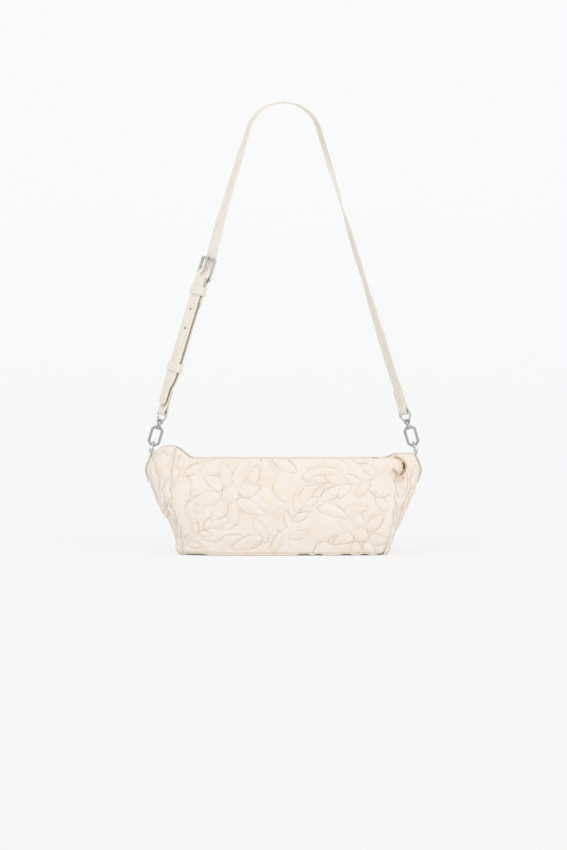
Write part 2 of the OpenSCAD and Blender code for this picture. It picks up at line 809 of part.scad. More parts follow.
front_panel();
back_panel();
left_gusset();
right_gusset();
base_panel();
base_board();
lining();
lining_floor();
inner_pocket();
front_facing();
back_facing();
front_zip_tape();
back_zip_tape();
front_zip_teeth();
back_zip_teeth();
zip_slider();
zip_pull();
zip_end_stop();
left_zip_tab();
right_zip_tab();
left_ring_tab();
right_ring_tab();
left_bag_ring();
right_bag_ring();
left_clip_body();
right_clip_body();
left_clip_gate();
right_clip_gate();
left_gate_pin();
right_gate_pin();
left_swivel_eye();
right_swivel_eye();
left_strap_ring();
right_strap_ring();
strap_long();
strap_short();
buckle_frame();
buckle_prong();
fixed_keeper();
sliding_keeper();
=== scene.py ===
import math

import bmesh
import bpy
import numpy as np
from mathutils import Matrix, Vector, kdtree, noise


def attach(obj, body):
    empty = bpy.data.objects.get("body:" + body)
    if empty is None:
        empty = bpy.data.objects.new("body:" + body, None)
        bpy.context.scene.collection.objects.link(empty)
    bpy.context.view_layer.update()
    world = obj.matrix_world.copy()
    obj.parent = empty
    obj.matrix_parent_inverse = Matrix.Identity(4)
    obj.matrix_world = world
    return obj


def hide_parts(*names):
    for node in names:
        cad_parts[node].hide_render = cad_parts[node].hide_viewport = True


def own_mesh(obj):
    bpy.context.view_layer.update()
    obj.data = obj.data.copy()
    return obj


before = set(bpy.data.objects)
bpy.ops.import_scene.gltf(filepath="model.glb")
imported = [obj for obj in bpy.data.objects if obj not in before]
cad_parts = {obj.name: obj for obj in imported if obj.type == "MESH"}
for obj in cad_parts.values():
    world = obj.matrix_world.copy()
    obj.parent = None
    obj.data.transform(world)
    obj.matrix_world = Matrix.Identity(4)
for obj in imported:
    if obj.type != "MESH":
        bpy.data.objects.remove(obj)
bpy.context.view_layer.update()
MM = 0.001


def add_object(name, data):
    made = bpy.data.objects.new(name, data)
    bpy.context.collection.objects.link(made)
    return made


# Camera
camera_data = bpy.data.cameras.new("camera")
camera = add_object("camera", camera_data)
bpy.context.scene.camera = camera
camera_data.sensor_fit = "AUTO"
camera_data.sensor_width = 36.0
camera_data.lens = 85.3
camera_data.clip_end = 30.0
look_at = Vector((0.0, -0.015, 0.1405))
distance = 2.2
tilt = math.radians(2.0)
camera.location = look_at + distance * Vector((0.0, -math.cos(tilt), math.sin(tilt)))
camera.rotation_euler = (math.radians(90.0) - tilt, 0.0, 0.0)


# Materials
class Finish:
    """A material and the few node calls that the finishes below share."""

    def __init__(self, name):
        self.material = bpy.data.materials.new(name)
        self.material.use_nodes = True
        self.tree = self.material.node_tree
        self.tree.nodes.clear()
        self.out = self.tree.nodes.new("ShaderNodeOutputMaterial")
        self.skin = self.tree.nodes.new("ShaderNodeBsdfPrincipled")
        self.tree.links.new(self.skin.outputs["BSDF"], self.out.inputs["Surface"])
        self.place = self.tree.nodes.new("ShaderNodeTexCoord").outputs["Object"]

    def node(self, kind, links=(), **values):
        made = self.tree.nodes.new(kind)
        for key, value in values.items():
            if hasattr(made, key):
                setattr(made, key, value)
            else:
                made.inputs[key.replace("_", " ")].default_value = value
        for socket, source in links:
            self.tree.links.new(source, made.inputs[socket])
        return made

    def spots(self, scale, detail=2.0, rough=0.5):
        return self.node("ShaderNodeTexNoise", [("Vector", self.place)],
                         Scale=scale, Detail=detail, Roughness=rough).outputs["Fac"]

    def bands(self, scale, axis, wobble=0.0):
        made = self.node("ShaderNodeTexWave", [("Vector", self.place)],
                         Scale=scale, Distortion=wobble)
        made.bands_direction = axis
        return made.outputs["Fac"]

    def maths(self, operation, a, b=None):
        made = self.node("ShaderNodeMath", operation=operation)
        for k, value in enumerate((a, b)):
            if value is None:
                continue
            if isinstance(value, (int, float)):
                made.inputs[k].default_value = value
            else:
                self.tree.links.new(value, made.inputs[k])
        return made.outputs[0]

    def ramp(self, factor, stops):
        made = self.node("ShaderNodeValToRGB", [("Fac", factor)])
        ends = made.color_ramp.elements
        while len(ends) < len(stops):
            ends.new(0.5)
        for end, (place, colour) in zip(ends, stops):
            end.position = place
            end.color = (*colour, 1.0)
        return made.outputs["Color"]

    def mix(self, factor, a, b):
        made = self.node("ShaderNodeMix", data_type="RGBA")
        for key, value in ((0, factor), (6, a), (7, b)):
            if isinstance(value, (int, float)):
                made.inputs[key].default_value = value
            elif isinstance(value, tuple):
                made.inputs[key].default_value = (*value, 1.0)
            else:
                self.tree.links.new(value, made.inputs[key])
        return made.outputs[2]

    def attribute(self, name):
        return self.node("ShaderNodeAttribute", attribute_name=name).outputs["Fac"]

    def skin_has(self, **values):
        for key, value in values.items():
            self.skin.inputs[key.replace("_", " ")].default_value = value

    def colour(self, source):
        self.tree.links.new(source, self.skin.inputs["Base Color"])

    def rough(self, source, low, high):
        made = self.node("ShaderNodeMapRange", [("Value", source)], To_Min=low, To_Max=high)
        self.tree.links.new(made.outputs[0], self.skin.inputs["Roughness"])

    def bump(self, height, strength, distance):
        made = self.node("ShaderNodeBump", [("Height", height)], Strength=strength, Distance=distance)
        self.tree.links.new(made.outputs[0], self.skin.inputs["Normal"])

    def weave(self, pitch):
        """Crossing threads a pitch (in metres) apart, as a height."""
        across = self.bands(0.314 / pitch, "X", 0.4)
        up = self.bands(0.314 / pitch, "Z", 0.4)
        deep = self.bands(0.314 / pitch, "Y", 0.4)
        return self.maths("MULTIPLY", self.maths("ADD", self.maths("ADD", across, up), deep), 0.33)


def quilted_cloth():
    f = Finish("quilted_cloth")
    base = f.ramp(f.spots(55.0, 3.0), [(0.3, (0.885, 0.788, 0.668)), (0.7, (0.915, 0.845, 0.792))])
    # Painted shade: a tan tint along the outline grooves, the seams and the groove just above the base.
    base = f.mix(f.attribute("groove_shade"), base, (0.66, 0.55, 0.42))
    # Painted shade: brown in the creases and round the tucked fold, near black in the fold's deepest
    # crescent.
    base = f.mix(f.attribute("depth"), base, (0.55, 0.31, 0.13))
    base = f.mix(f.maths("POWER", f.attribute("depth"), 5.0), base, (0.03, 0.015, 0.008))
    f.colour(base)
    f.rough(f.spots(300.0), 0.62, 0.8)
    height = f.maths("ADD", f.weave(0.0007), f.maths("MULTIPLY", f.spots(420.0, 4.0), 1.2))
    f.bump(height, 0.32, 0.0003)
    f.skin_has(Sheen_Weight=0.25, Sheen_Roughness=0.5)
    return f.material


def sewing_thread(name, light, dark):
    f = Finish(name)
    f.colour(f.ramp(f.bands(900.0, "DIAGONAL"), [(0.2, dark), (0.8, light)]))
    f.rough(f.spots(500.0), 0.5, 0.7)
    f.bump(f.bands(900.0, "DIAGONAL"), 0.4, 0.0001)
    return f.material


def plain_cloth(name, light, dark, pitch):
    f = Finish(name)
    threads = f.weave(pitch)
    tone = f.maths("ADD", f.maths("MULTIPLY", f.spots(70.0, 3.0), 0.6), f.maths("MULTIPLY", threads, 0.4))
    f.colour(f.ramp(tone, [(0.25, dark), (0.75, light)]))
    f.rough(f.spots(250.0), 0.7, 0.88)
    f.bump(threads, 0.5, 0.00025)
    f.skin_has(Sheen_Weight=0.2)
    return f.material


def smooth_leather(name, light, dark):
    f = Finish(name)
    # The tan mixed in by the attribute is the leather's raw back and painted shade: in the gap between layers
    # and on the right of the strap's top.
    f.colour(f.mix(f.attribute("raw_back_and_shade"), f.ramp(f.spots(90.0, 4.0), [(0.3, dark), (0.7, light)]),
                   (0.50, 0.39, 0.27)))
    pores = f.node("ShaderNodeTexVoronoi", [("Vector", f.place)], Scale=1500.0).outputs["Distance"]
    f.rough(f.spots(200.0, 3.0), 0.42, 0.6)
    f.bump(f.maths("ADD", pores, f.spots(700.0, 3.0)), 0.2, 0.0002)
    f.skin_has(Specular_IOR_Level=0.4)
    return f.material


def polished_metal(name, light, dark, low, high):
    f = Finish(name)
    f.skin_has(Metallic=1.0, IOR=2.0)
    f.colour(f.ramp(f.spots(160.0, 3.0), [(0.3, dark), (0.7, light)]))
    f.rough(f.spots(420.0, 4.0), low, high)
    f.bump(f.spots(900.0, 2.0), 0.06, 0.0001)
    return f.material


def grey_board():
    f = Finish("grey_board")
    f.colour(f.ramp(f.spots(400.0, 5.0), [(0.35, (0.52, 0.42, 0.31)), (0.65, (0.64, 0.54, 0.42))]))
    f.rough(f.spots(300.0), 0.75, 0.9)
    f.bump(f.spots(800.0, 4.0), 0.3, 0.0002)
    return f.material


CLOTH = quilted_cloth()
THREAD = sewing_thread("outline_thread", (0.67, 0.56, 0.43), (0.55, 0.45, 0.34))
LINING = plain_cloth("lining_cloth", (0.80, 0.72, 0.62), (0.70, 0.61, 0.50), 0.0006)
FACING = plain_cloth("facing_cloth", (0.90, 0.83, 0.73), (0.84, 0.76, 0.65), 0.0007)
# Painted shade: the base panel is dark brown so that the gaps under the arches along the front's lower edge
# look deeply shaded.
BASE_SHADE_CLOTH = plain_cloth("base_painted_shade", (0.34, 0.29, 0.24), (0.24, 0.20, 0.16), 0.0007)
TAPE = plain_cloth("zip_tape_weave", (0.84, 0.77, 0.66), (0.72, 0.63, 0.51), 0.0011)
STRAP = smooth_leather("strap_leather", (0.90, 0.85, 0.76), (0.85, 0.79, 0.69))
TAB = smooth_leather("tab_leather", (0.95, 0.92, 0.84), (0.90, 0.86, 0.77))
BRIGHT = polished_metal("bright_metal", (0.74, 0.73, 0.71), (0.62, 0.61, 0.59), 0.1, 0.2)
SILVER = polished_metal("silver_metal", (0.54, 0.54, 0.55), (0.42, 0.42, 0.43), 0.2, 0.32)
ZIP_METAL = polished_metal("zip_metal", (0.66, 0.66, 0.67), (0.54, 0.54, 0.55), 0.24, 0.36)
BOARD = grey_board()


# Making pieces
def in_metres(name, bm, smooth=True):
    """Turns a bmesh in millimetres into an object."""
    bmesh.ops.scale(bm, vec=(MM, MM, MM), verts=bm.verts)
    for face in bm.faces:
        face.smooth = smooth
    mesh = bpy.data.meshes.new(name)
    bm.to_mesh(mesh)
    bm.free()
    return add_object(name, mesh)


def piece(name, bm, material, body, nodes=(), smooth=True):
    """Turns a bmesh in millimetres into a piece that rides on a body."""
    made = in_metres(name, bm, smooth)
    made.data.materials.append(material)
    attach(made, body)
    if nodes:
        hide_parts(*nodes)
    return made


def grid(columns, rows, place):
    """A bmesh grid whose point at (u, v), each 0 to 1, goes to place(u, v) in millimetres."""
    bm = bmesh.new()
    bmesh.ops.create_grid(bm, x_segments=columns, y_segments=rows, size=1.0)
    for vert in bm.verts:
        vert.co = place((vert.co.x + 1.0) / 2.0, (vert.co.y + 1.0) / 2.0)
    return bm


def rounded(value, power):
    """A sine or cosine bent towards a squarer or a pointed section, with its sign kept."""
    return math.copysign(abs(value) ** power, value)


def waver(x, y, z):
    """Smooth noise, about -1 to 1."""
    return noise.noise(Vector((x, y, z)))


def face_out(bm):
    """Turns all faces outwards."""
    bmesh.ops.recalc_face_normals(bm, faces=bm.faces)


def close_up(bm):
    """Joins the points where a grid meets itself."""
    bmesh.ops.remove_doubles(bm, verts=bm.verts, dist=0.002)


def bar(path, around, steps, ring, capped=True):
    """A bar or a ring: path(s) gives (centre, side, up), around(a) the section in side and up."""
    def place(u, v):
        centre, side, up = path(u)
        x, y = around(v * 2.0 * math.pi)
        return centre + side * x + up * y
    bm = grid(steps, ring, place)
    close_up(bm)
    if capped:
        bmesh.ops.holes_fill(bm, edges=bm.edges, sides=0)
    face_out(bm)
    return bm


def mark(made, name, values):
    """Gives each point of a piece a value for its material to read."""
    data = made.data.attributes.new(name, "FLOAT", "POINT")
    data.data.foreach_set("value", values)


def thicken(made, thick, offset, edge=0.0):
    """Gives a sheet its thickness and, if asked, rounded edges, both in millimetres."""
    layer = made.modifiers.new("layer", "SOLIDIFY")
    layer.thickness = thick * MM
    layer.offset = offset
    if edge:
        rounding = made.modifiers.new("edge", "BEVEL")
        rounding.width = edge * MM
        rounding.segments = 2


def apply_all(made):
    """Applies a piece's modifiers, in their order."""
    bpy.context.view_layer.objects.active = made
    for modifier in list(made.modifiers):
        bpy.ops.object.modifier_apply(modifier=modifier.name)


# Form of the bag
# Each level t runs from 0 at the base to 1 at the rim.
BAG_H = 106.0
BASE_HALF_LEN, WIDEST_MORE = 114.0, 37.0
MOUTH_HALF_DEP, BASE_MORE = 21.0, 21.0
LEN_CURVE = ((0, 0), (0.1, 0.09), (0.3, 0.33), (0.65, 0.8), (0.85, 1), (1, 0.81))
DEP_CURVE = ((0, 1), (0.2, 1.06), (0.5, 0.82), (0.8, 0.36), (1, 0))
SEAM_CURVE = ((0, 0.945), (0.1, 0.956), (0.3, 0.938), (0.5, 0.89), (0.725, 0.833), (0.85, 0.803),
              (1, 0.815))
STOPS = np.linspace(0, 1, 201)


def follow(curve, t):
    return float(np.interp(t, [p[0] for p in curve], [p[1] for p in curve]))


def softened(curve):
    """The curve with its corners rounded, as 201 even values."""
    line = np.interp(STOPS, [p[0] for p in curve], [p[1] for p in curve])
    wide = np.concatenate((2 * line[0] - line[14:0:-1], line, 2 * line[-1] - line[-2:-16:-1]))
    return np.convolve(wide, np.hanning(31)[1:-1] / np.hanning(31).sum(), "valid")


def ease(v):
    v = max(0.0, min(1.0, v))
    return v * v * (3.0 - 2.0 * v)


SOFT_LEN, SOFT_DEP, SOFT_SEAM = softened(LEN_CURVE), softened(DEP_CURVE), softened(SEAM_CURVE)


def half_len(t):
    return BASE_HALF_LEN + WIDEST_MORE * float(np.interp(t, STOPS, SOFT_LEN))


def half_dep(t):
    return MOUTH_HALF_DEP + BASE_MORE * float(np.interp(t, STOPS, SOFT_DEP))


def squareness(t):
    """Power of the level's superellipse: nearly a rectangle at the base, softer at the rim."""
    return 6.0 - 3.0 * t


LEFT_EAR = (11.0, 0.69, 0.84)
RIGHT_EAR = (2.8, 0.77, 0.87)
END_RISE = 2.8
RIM_SAG = 2.0


def ear_at(reach):
    """Extra height of the rim. The right ear is tucked in, so it rises less, and the middle sags."""
    rise, low, high = LEFT_EAR if reach < 0 else RIGHT_EAR
    reach = abs(reach)
    ear = (rise + RIM_SAG) * ease((reach - low) / (high - low)) - RIM_SAG
    return ear + (END_RISE - ear) * ease((reach - 0.91) / 0.09)


def level(t, reach):
    """Height of a level at a share of the half length."""
    return t * (BAG_H + ear_at(reach) * t * t)


def drawn_in(p):
    """The left end is pulled in a little above the base."""
    p.x += 4.6 * math.exp(-((p.z - 26.0) / 17.0) ** 4) * ease((-p.x - 84.0) / 26.0)
    return p


def seam_at(t):
    """Half length at which the long walls meet the ends, with the seam's small waves."""
    waves = 0.9 * math.sin(40.0 * t + 0.7) + 0.5 * math.sin(83.0 * t)
    straight = half_len(t) * float(np.interp(t, STOPS, SOFT_SEAM))
    return straight + waves * math.sin(math.pi * min(1.0, t / 0.96))


def depth_at(x, t, inset):
    a, b, n = half_len(t) - inset, half_dep(t) - inset, squareness(t)
    return b * max(0.0, 1.0 - min(1.0, abs(x) / a) ** n) ** (1.0 / n)


def wall_point(x, t, inset, side):
    return drawn_in(Vector((x, side * depth_at(x, t, inset), level(t, x / (half_len(t) - inset)))))


def end_point(angle, t, inset, side):
    """A point of an end, by angle from the middle of the end."""
    n = squareness(t)
    x = (half_len(t) - inset) * max(0.0, math.cos(angle)) ** (2.0 / n)
    y = (half_dep(t) - inset) * rounded(math.sin(angle), 2.0 / n)
    return drawn_in(Vector((side * x, y, level(t, side * x / (half_len(t) - inset)))))


def seam_angle(t):
    return math.acos((seam_at(t) / half_len(t)) ** (squareness(t) / 2.0))


RIM_R = 1.2
RIM_RUN = 12.0
T_TOP = 1.0 - RIM_R / BAG_H
WALL_SHARE = 0.9


def climb(v):
    """Level, inset and extra height on the way up the wall and over the rim."""
    if v <= WALL_SHARE:
        return T_TOP * v / WALL_SHARE, 0.0, 0.0
    over = (v - WALL_SHARE) / (1.0 - WALL_SHARE) * RIM_RUN
    turn = min(math.pi, over / RIM_R)
    down = max(0.0, over - math.pi * RIM_R)
    return T_TOP, RIM_R * (1.0 - math.cos(turn)), RIM_R * math.sin(turn) - down


def hold_at(v):
    """How much of the quilting a row keeps: all of it on the wall, none over the rim."""
    return 1.0 if v <= WALL_SHARE else max(0.0, 1.0 - (v - WALL_SHARE) / 0.02)


# Outline quilting
def smooth_line(points, closed=False, step=0.6):
    """Points a step apart along a smooth curve through the given ones."""
    pts = [Vector((*p, 0.0)) for p in points]
    count = len(pts)
    made = []
    for i in range(count if closed else count - 1):
        p0 = pts[(i - 1) % count] if closed or i else pts[0]
        p1, p2 = pts[i], pts[(i + 1) % count]
        p3 = pts[(i + 2) % count] if closed or i + 2 < count else pts[-1]
        cells = max(2, int((p2 - p1).length / step))
        for k in range(cells):
            s = k / cells
            made.append(0.5 * (2 * p1 + (p2 - p0) * s + (2 * p0 - 5 * p1 + 4 * p2 - p3) * s * s
                               + (3 * p1 - p0 - 3 * p2 + p3) * s ** 3))
    made.append(made[0].copy() if closed else pts[-1])
    return [(p.x, p.y) for p in made]


def turned(x, y, cx, cy, a):
    """The point (x, y) turned by a radians and moved to start from (cx, cy)."""
    return cx + x * math.cos(a) - y * math.sin(a), cy + x * math.sin(a) + y * math.cos(a)


def petal(cx, cy, angle, length, width, blunt=0.8, bend=0.0):
    """A closed petal or leaf that starts at (cx, cy)."""
    a = math.radians(angle)
    one, two = [], []
    for k in range(9):
        s = k / 8.0
        half = width / 2.0 * math.sin(math.pi * s ** blunt) ** 0.75
        mid = bend * math.sin(math.pi * s)
        one.append(turned(s * length, mid + half, cx, cy, a))
        two.append(turned(s * length, mid - half, cx, cy, a))
    return smooth_line(one + two[-2:0:-1], closed=True)


def blossom(cx, cy, inner, outer, count, phase, width):
    """A round open flower: a centre ring and petals that vary a little."""
    shapes = [smooth_line([(cx + inner * (1 + 0.12 * math.sin(3 * k)) * math.cos(k * math.pi / 6),
                            cy + inner * math.sin(k * math.pi / 6)) for k in range(12)], closed=True)]
    for k in range(count):
        a = phase + 360.0 * k / count
        reach = outer * (0.86 + 0.16 * math.sin(2.1 * k + phase))
        sx = cx + (inner + 0.8) * math.cos(math.radians(a))
        sy = cy + (inner + 0.8) * math.sin(math.radians(a))
        bend = 2.0 * math.sin(k * 1.7)
        shapes.append(petal(sx, sy, a + 5 * math.sin(k), reach - inner, width, 0.7, bend))
    return shapes


def spray(cx, cy, angle, size, count):
    """A bent stem with leaves on both sides."""
    stem, shapes = [], []
    for k in range(7):
        s = k / 6.0
        stem.append(turned(s * size, 0.16 * size * math.sin(math.pi * s), cx, cy, math.radians(angle)))
    for k in range(count):
        s = 0.22 + 0.7 * k / count
        side = 1 if k % 2 else -1
        shapes.append(petal(*stem[min(6, int(round(s * 6)))], angle + side * (48 - 20 * s),
                            size * (0.42 - 0.14 * s), size * 0.15))
    shapes.append(petal(*stem[-1], angle - 14, size * 0.34, size * 0.14))
    shapes.append(smooth_line(stem))
    return shapes


def inside(polygon, x, y):
    """Whether a point lies inside a closed outline."""
    hit = False
    for (x1, y1), (x2, y2) in zip(polygon, polygon[1:]):
        if (y1 > y) != (y2 > y) and x < (x2 - x1) * (y - y1) / (y2 - y1) + x1:
            hit = not hit
    return hit


def uncovered(shapes):
    """Cuts each outline where an earlier closed one covers it."""
    kept, fronts = [], []
    for shape in shapes:
        run = []
        boxes = [(min(p[0] for p in f), max(p[0] for p in f), min(p[1] for p in f), max(p[1] for p in f), f)
                 for f in fronts]
        for x, y in shape:
            if any(lo < x < hi and down < y < up and inside(f, x, y) for lo, hi, down, up, f in boxes):
                if len(run) > 6:
                    kept.append(run)
                run = []
            else:
                run.append((x, y))
        if len(run) > 6:
            kept.append(run)
        if math.dist(shape[0], shape[-1]) < 0.5:
            fronts.append(shape[::3] + [shape[0]])
    return kept


def petals(*rows):
    return [petal(*row) for row in rows]


def open_lines(*rows):
    return [smooth_line(row) for row in rows]


def front_shapes():
    """Outlines on the front wall, in distance from its middle and height."""
    shapes = blossom(-58, 66, 9, 43, 8, 12, 15)
    shapes += blossom(84, 22, 7.5, 33, 7, 40, 12.5)
    shapes += spray(6, 8, 64, 58, 5)
    shapes += spray(112, 92, 190, 62, 5)
    shapes += spray(-112, 6, 28, 50, 4)
    shapes += petals((20, 84, 8, 44, 17), (14, 90, 150, 34, 13), (-22, 20, 200, 38, 15),
                     (-18, 14, 120, 30, 13), (36, 52, -20, 36, 14, 0.8, 3), (40, 60, 30, 30, 12))
    shapes += open_lines(
        ((-118, 96), (-104, 84), (-101, 66), (-108, 46), (-104, 30), (-112, 18)),
        ((-18, 104), (-8, 88), (-12, 70), (0, 58), (14, 62), (24, 74), (40, 76)),
        ((-44, 0), (-38, 12), (-46, 22), (-62, 22), (-74, 14), (-90, 18)),
        ((30, 0), (38, 14), (52, 14), (58, 4)), ((60, 74), (74, 66), (90, 70), (104, 62), (117, 66)),
        ((60, 104), (72, 94), (66, 86), (52, 92)), ((-100, 106), (-88, 100), (-74, 104)),
        ((-8, 38), (4, 46), (2, 30), (-8, 26)))
    shapes += petals((-88, 98, -150, 26, 10), (-28, 96, 250, 30, 12), (-24, 62, 200, 20, 9),
                     (60, 40, 20, 34, 13, 0.8, 2), (112, 46, 120, 26, 11), (-12, 2, 70, 26, 10),
                     (-96, 44, 60, 24, 9), (48, 14, 20, 20, 9))
    shapes += open_lines(((72, 104), (84, 98), (98, 102)), ((-30, 40), (-22, 48), (-12, 44), (-4, 52)))
    return uncovered(shapes)


def back_shapes():
    """Outlines on the back wall, laid out in another way."""
    shapes = blossom(40, 58, 9, 42, 8, 30, 15)
    shapes += blossom(-80, 24, 7.5, 33, 7, 0, 12.5)
    shapes += spray(-20, 8, 110, 60, 5)
    shapes += spray(-112, 92, -12, 62, 5)
    shapes += spray(112, 8, 150, 46, 4)
    shapes += petals((-24, 84, 172, 42, 16), (96, 82, 200, 34, 13), (88, 40, -50, 32, 13))
    shapes += open_lines(((118, 98), (104, 84), (102, 64), (110, 44)),
                         ((-60, 74), (-76, 62), (-92, 68), (-110, 58)), ((-6, 104), (2, 92), (-4, 78)))
    return uncovered(shapes)


def end_shapes(flip):
    """Outlines on an end, in arc length from its middle and height."""
    shapes = petals((-21, 58, 84, 38, 13), (-33, 50, 98, 34, 11), (-9, 64, 70, 34, 13),
                    (-24, 54, 262, 34, 12), (-36, 46, 282, 30, 10), (-10, 56, 250, 32, 12),
                    (-40, 14, 100, 26, 10), (-26, 4, 80, 18, 9), (-6, 8, 60, 26, 11),
                    (15, 52, 96, 38, 14), (30, 54, 80, 34, 12), (16, 48, 270, 36, 13),
                    (34, 46, 262, 34, 12), (2, 30, 262, 24, 10), (42, 12, 88, 24, 9))
    shapes += open_lines(((-47, 6), (-44, 22), (-47, 38), (-40, 54), (-42, 70), (-33, 86), (-30, 103)),
                         ((-28, 98), (-22, 101), (-14, 98), (-12, 104)),
                         ((46, 2), (40, 18), (46, 34), (40, 50), (38, 68), (28, 92), (32, 100)),
                         ((2, 104), (4, 92), (14, 96), (24, 92), (22, 104)))
    if flip:
        shapes = [[(-x, BAG_H - y) for x, y in shape] for shape in shapes]
    return uncovered(shapes)


def point_tree(points):
    tree = kdtree.KDTree(len(points))
    for k, point in enumerate(points):
        tree.insert(point, k)
    tree.balance()
    return tree


def line_tree(lines):
    """A search tree for the distance to the nearest of the lines."""
    return point_tree([(x, y, 0.0) for line in lines for x, y in line])


class Quilting:
    """Distance to the nearest outline, and the height of the padding between outlines."""

    def __init__(self, lines, puff, seed):
        self.lines = lines
        self.puff = puff
        self.seed = seed
        self.tree = line_tree(lines)

    def gap(self, u, v):
        return self.tree.find((u, v, 0.0))[2]

    def height(self, u, v, edge):
        d = min(self.gap(u, v), edge)
        rise = 1.0 - math.exp(-d / 2.6)
        swell = 0.72 + 0.55 * waver(u / 26.0, v / 26.0, self.seed)
        creases = waver(u / 7.0, v / 10.0, self.seed + 3.0)
        fine = waver(u / 3.1, v / 3.6, self.seed + 9.0)
        pull = math.exp(-d / 3.0)
        puckers = (0.12 + 0.16 * pull) * fine * min(1.0, d / 0.8)
        return self.puff * rise * swell + 0.3 * creases * rise + puckers


# Creases as lines in (x, z), seen from the front, with their depth, width and tint of painted shade.
CREASES = [(line_tree([smooth_line(run, step=0.4) for run in runs]), depth, width, tint)
           for depth, width, tint, *runs in (
    (3.4, 1.5, 0.6, ((121.7, 105.4), (125.2, 104.4), (128.8, 101.7), (130.8, 99.0))),
    (4.2, 2.3, 0.8, ((130.9, 98.9), (132.2, 95.6), (131.5, 92.0))),
    (3.6, 1.9, 0.8, ((131.4, 91.6), (130.2, 89), (128.6, 87.4))),
    (3.0, 1.5, 0.5, ((128.2, 86.6), (125.2, 86.2), (122.2, 88.6), (119.2, 90.4))),
    (1.6, 1.1, 0.6, ((130.5, 84.4), (130.6, 82.2))),
    (0.9, 0.9, 0.2, ((123.7, 78.8), (127.7, 76.7), (131.2, 79.4))),
    (0.7, 1.1, 0.14, ((121.6, 103), (125.8, 99.4), (127.5, 95.2), (127, 90.9), (124.6, 88.2))),
    (0.8, 0.8, 0.17, ((117.8, 90.2), (118.4, 82.6), (122.2, 77), (125.6, 73.9), (129.9, 71.6),
                      (133.1, 69.4))),
    (1.0, 0.9, 0.14, ((133.1, 92.2), (135.4, 91.9), (138, 88.7), (138.5, 85.4), (137.1, 79))),
    (1.3, 1.2, 0.16, ((140.5, 72), (133, 61), (127.6, 46), (123.8, 34), (121.5, 18))),
    (1.2, 0.9, 0.34, ((139.5, 59), (138, 54)), ((136.4, 50.5), (134.6, 46.5)),
     ((133, 42), (131.8, 38.5)), ((130.4, 34.5), (128.6, 31))),
    (1.6, 1.0, 0.42, ((-143, 71), (-141, 64), (-138.5, 60.5)), ((-136.5, 55), (-133.5, 47), (-130.5, 43))),
    (1.2, 1.0, 0.28, ((-129, 62), (-128.5, 54), (-129.5, 46)),
     ((-125, 60), (-126.5, 52), (-125, 44), (-126.5, 36))),
    (1.0, 1.0, 0.10, ((-114, 106), (-116, 96), (-113.5, 88), (-117, 80), (-121, 72))))]
# A tiny hole near the top of the front, its inside painted dark as shade.
CREASES.append((line_tree([[(-24.2, 102.3), (-24.5, 102.4)]]), 0.4, 0.8, 0.8))
LOBE_X, LOBE_Z = 120.7, 95.5
SHADOW_REACH, SHADOW_TURN = 11.4, 27.0


def lobe_at(p):
    """How much a point belongs to the smooth round fold of the tucked ear."""
    if p.y > 0:
        return 0.0
    return math.exp(-(((p.x - LOBE_X) / 10.0) ** 2 + ((p.z - LOBE_Z) / 8.5) ** 2) ** 2)


def creased(p):
    """How far a point of the front half sinks into the creases, and how dark the shade painted on it is."""
    sink, dark = 0.0, 0.0
    if p.y > 0:
        return sink, dark
    for tree, depth, width, tint in CREASES:
        d = tree.find((p.x, p.z, 0.0))[2]
        if d < 3.0 * width:
            sink = max(sink, depth * math.exp(-(d / width) ** 2))
            dark = max(dark, tint * math.exp(-(d / width) ** 2))
    # Painted shade: a soft band beside the fold and a round patch under it.
    shade = 0.28 * math.exp(-((p.x - 130.2) / 4.5) ** 2 - ((p.z - 94.0) / 9.0) ** 4)
    under = ((p.x - 126.2) / 5.5) ** 2 + ((p.z - 82.3) / 5.5) ** 2
    # The deepest shade is a crescent on the far side of the fold.
    turn = math.degrees(math.atan2(p.z - LOBE_Z, p.x - LOBE_X)) - 1.0
    off = abs(math.hypot(p.x - LOBE_X, p.z - LOBE_Z) - SHADOW_REACH)
    narrow = math.cos(math.radians(turn * 90.0 / SHADOW_TURN)) if abs(turn) < SHADOW_TURN else 0.0
    dark = max(dark, math.exp(-(off / (1.9 * narrow + 0.01)) ** 4) if narrow > 0.05 else 0.0)
    dark = max(dark, 0.34 * math.exp(-under ** 2), shade if p.x < 131.2 else 0.0)
    return sink - 3.0 * lobe_at(p) + 1.8 * math.exp(-under ** 2), dark


def relief(bm, coords, quilting, edge_of, under_tab=None):
    """Pushes the grid out along its normals and returns two tints of painted shade: one along the grooves and
    seams, one in the creases and the fold.
    """
    bm.normal_update()
    bm.verts.ensure_lookup_table()
    moves, groove_shade, depth = [], [], []
    for vert in bm.verts:
        u, v, hold = coords[vert.index]
        edge = edge_of(u, v)
        h = quilting.height(u, v, edge) * hold
        d = min(quilting.gap(u, v), edge)
        smooth = lobe_at(vert.co)
        h = h * (1.0 - smooth) + 1.4 * smooth * hold
        patchy = 0.6 + 0.5 * waver(u / 9, v / 9, 5.0)
        # Painted shade along the outline grooves and, below, along the seams and edges of the wall.
        tint = 0.28 * math.exp(-(d / 1.0) ** 2) * patchy * hold
        tint = max(tint, 0.30 * math.exp(-(edge / 0.8) ** 2) * hold) * (1.0 - smooth)
        # creased gives the sink and the painted shade of the creases and the fold.
        sink, dark = creased(vert.co)
        # A groove just above the base, sunk in and given painted shade.
        foot = math.exp(-((vert.co.z - 2.7) / 0.7) ** 2) * hold
        h -= sink + 0.5 * foot
        tint = max(tint, 0.5 * foot)
        if under_tab:
            flat = under_tab(u, v)
            h = h * (1.0 - flat) + 0.1 * flat * hold
        moves.append(h)
        groove_shade.append(max(0.0, tint))
        depth.append(dark)
    normals = [vert.normal.copy() for vert in bm.verts]
    for vert, normal, h in zip(bm.verts, normals, moves):
        vert.co += normal * h
        vert.co.z = max(vert.co.z, 0.0)
    return groove_shade, depth


def thread_rise(u, v):
    """The threads lie in their grooves, here a little deeper and there a little higher."""
    return -0.04 + 0.42 * waver(u / 12.0, v / 12.0, 7.7)


THREAD_R = 0.25


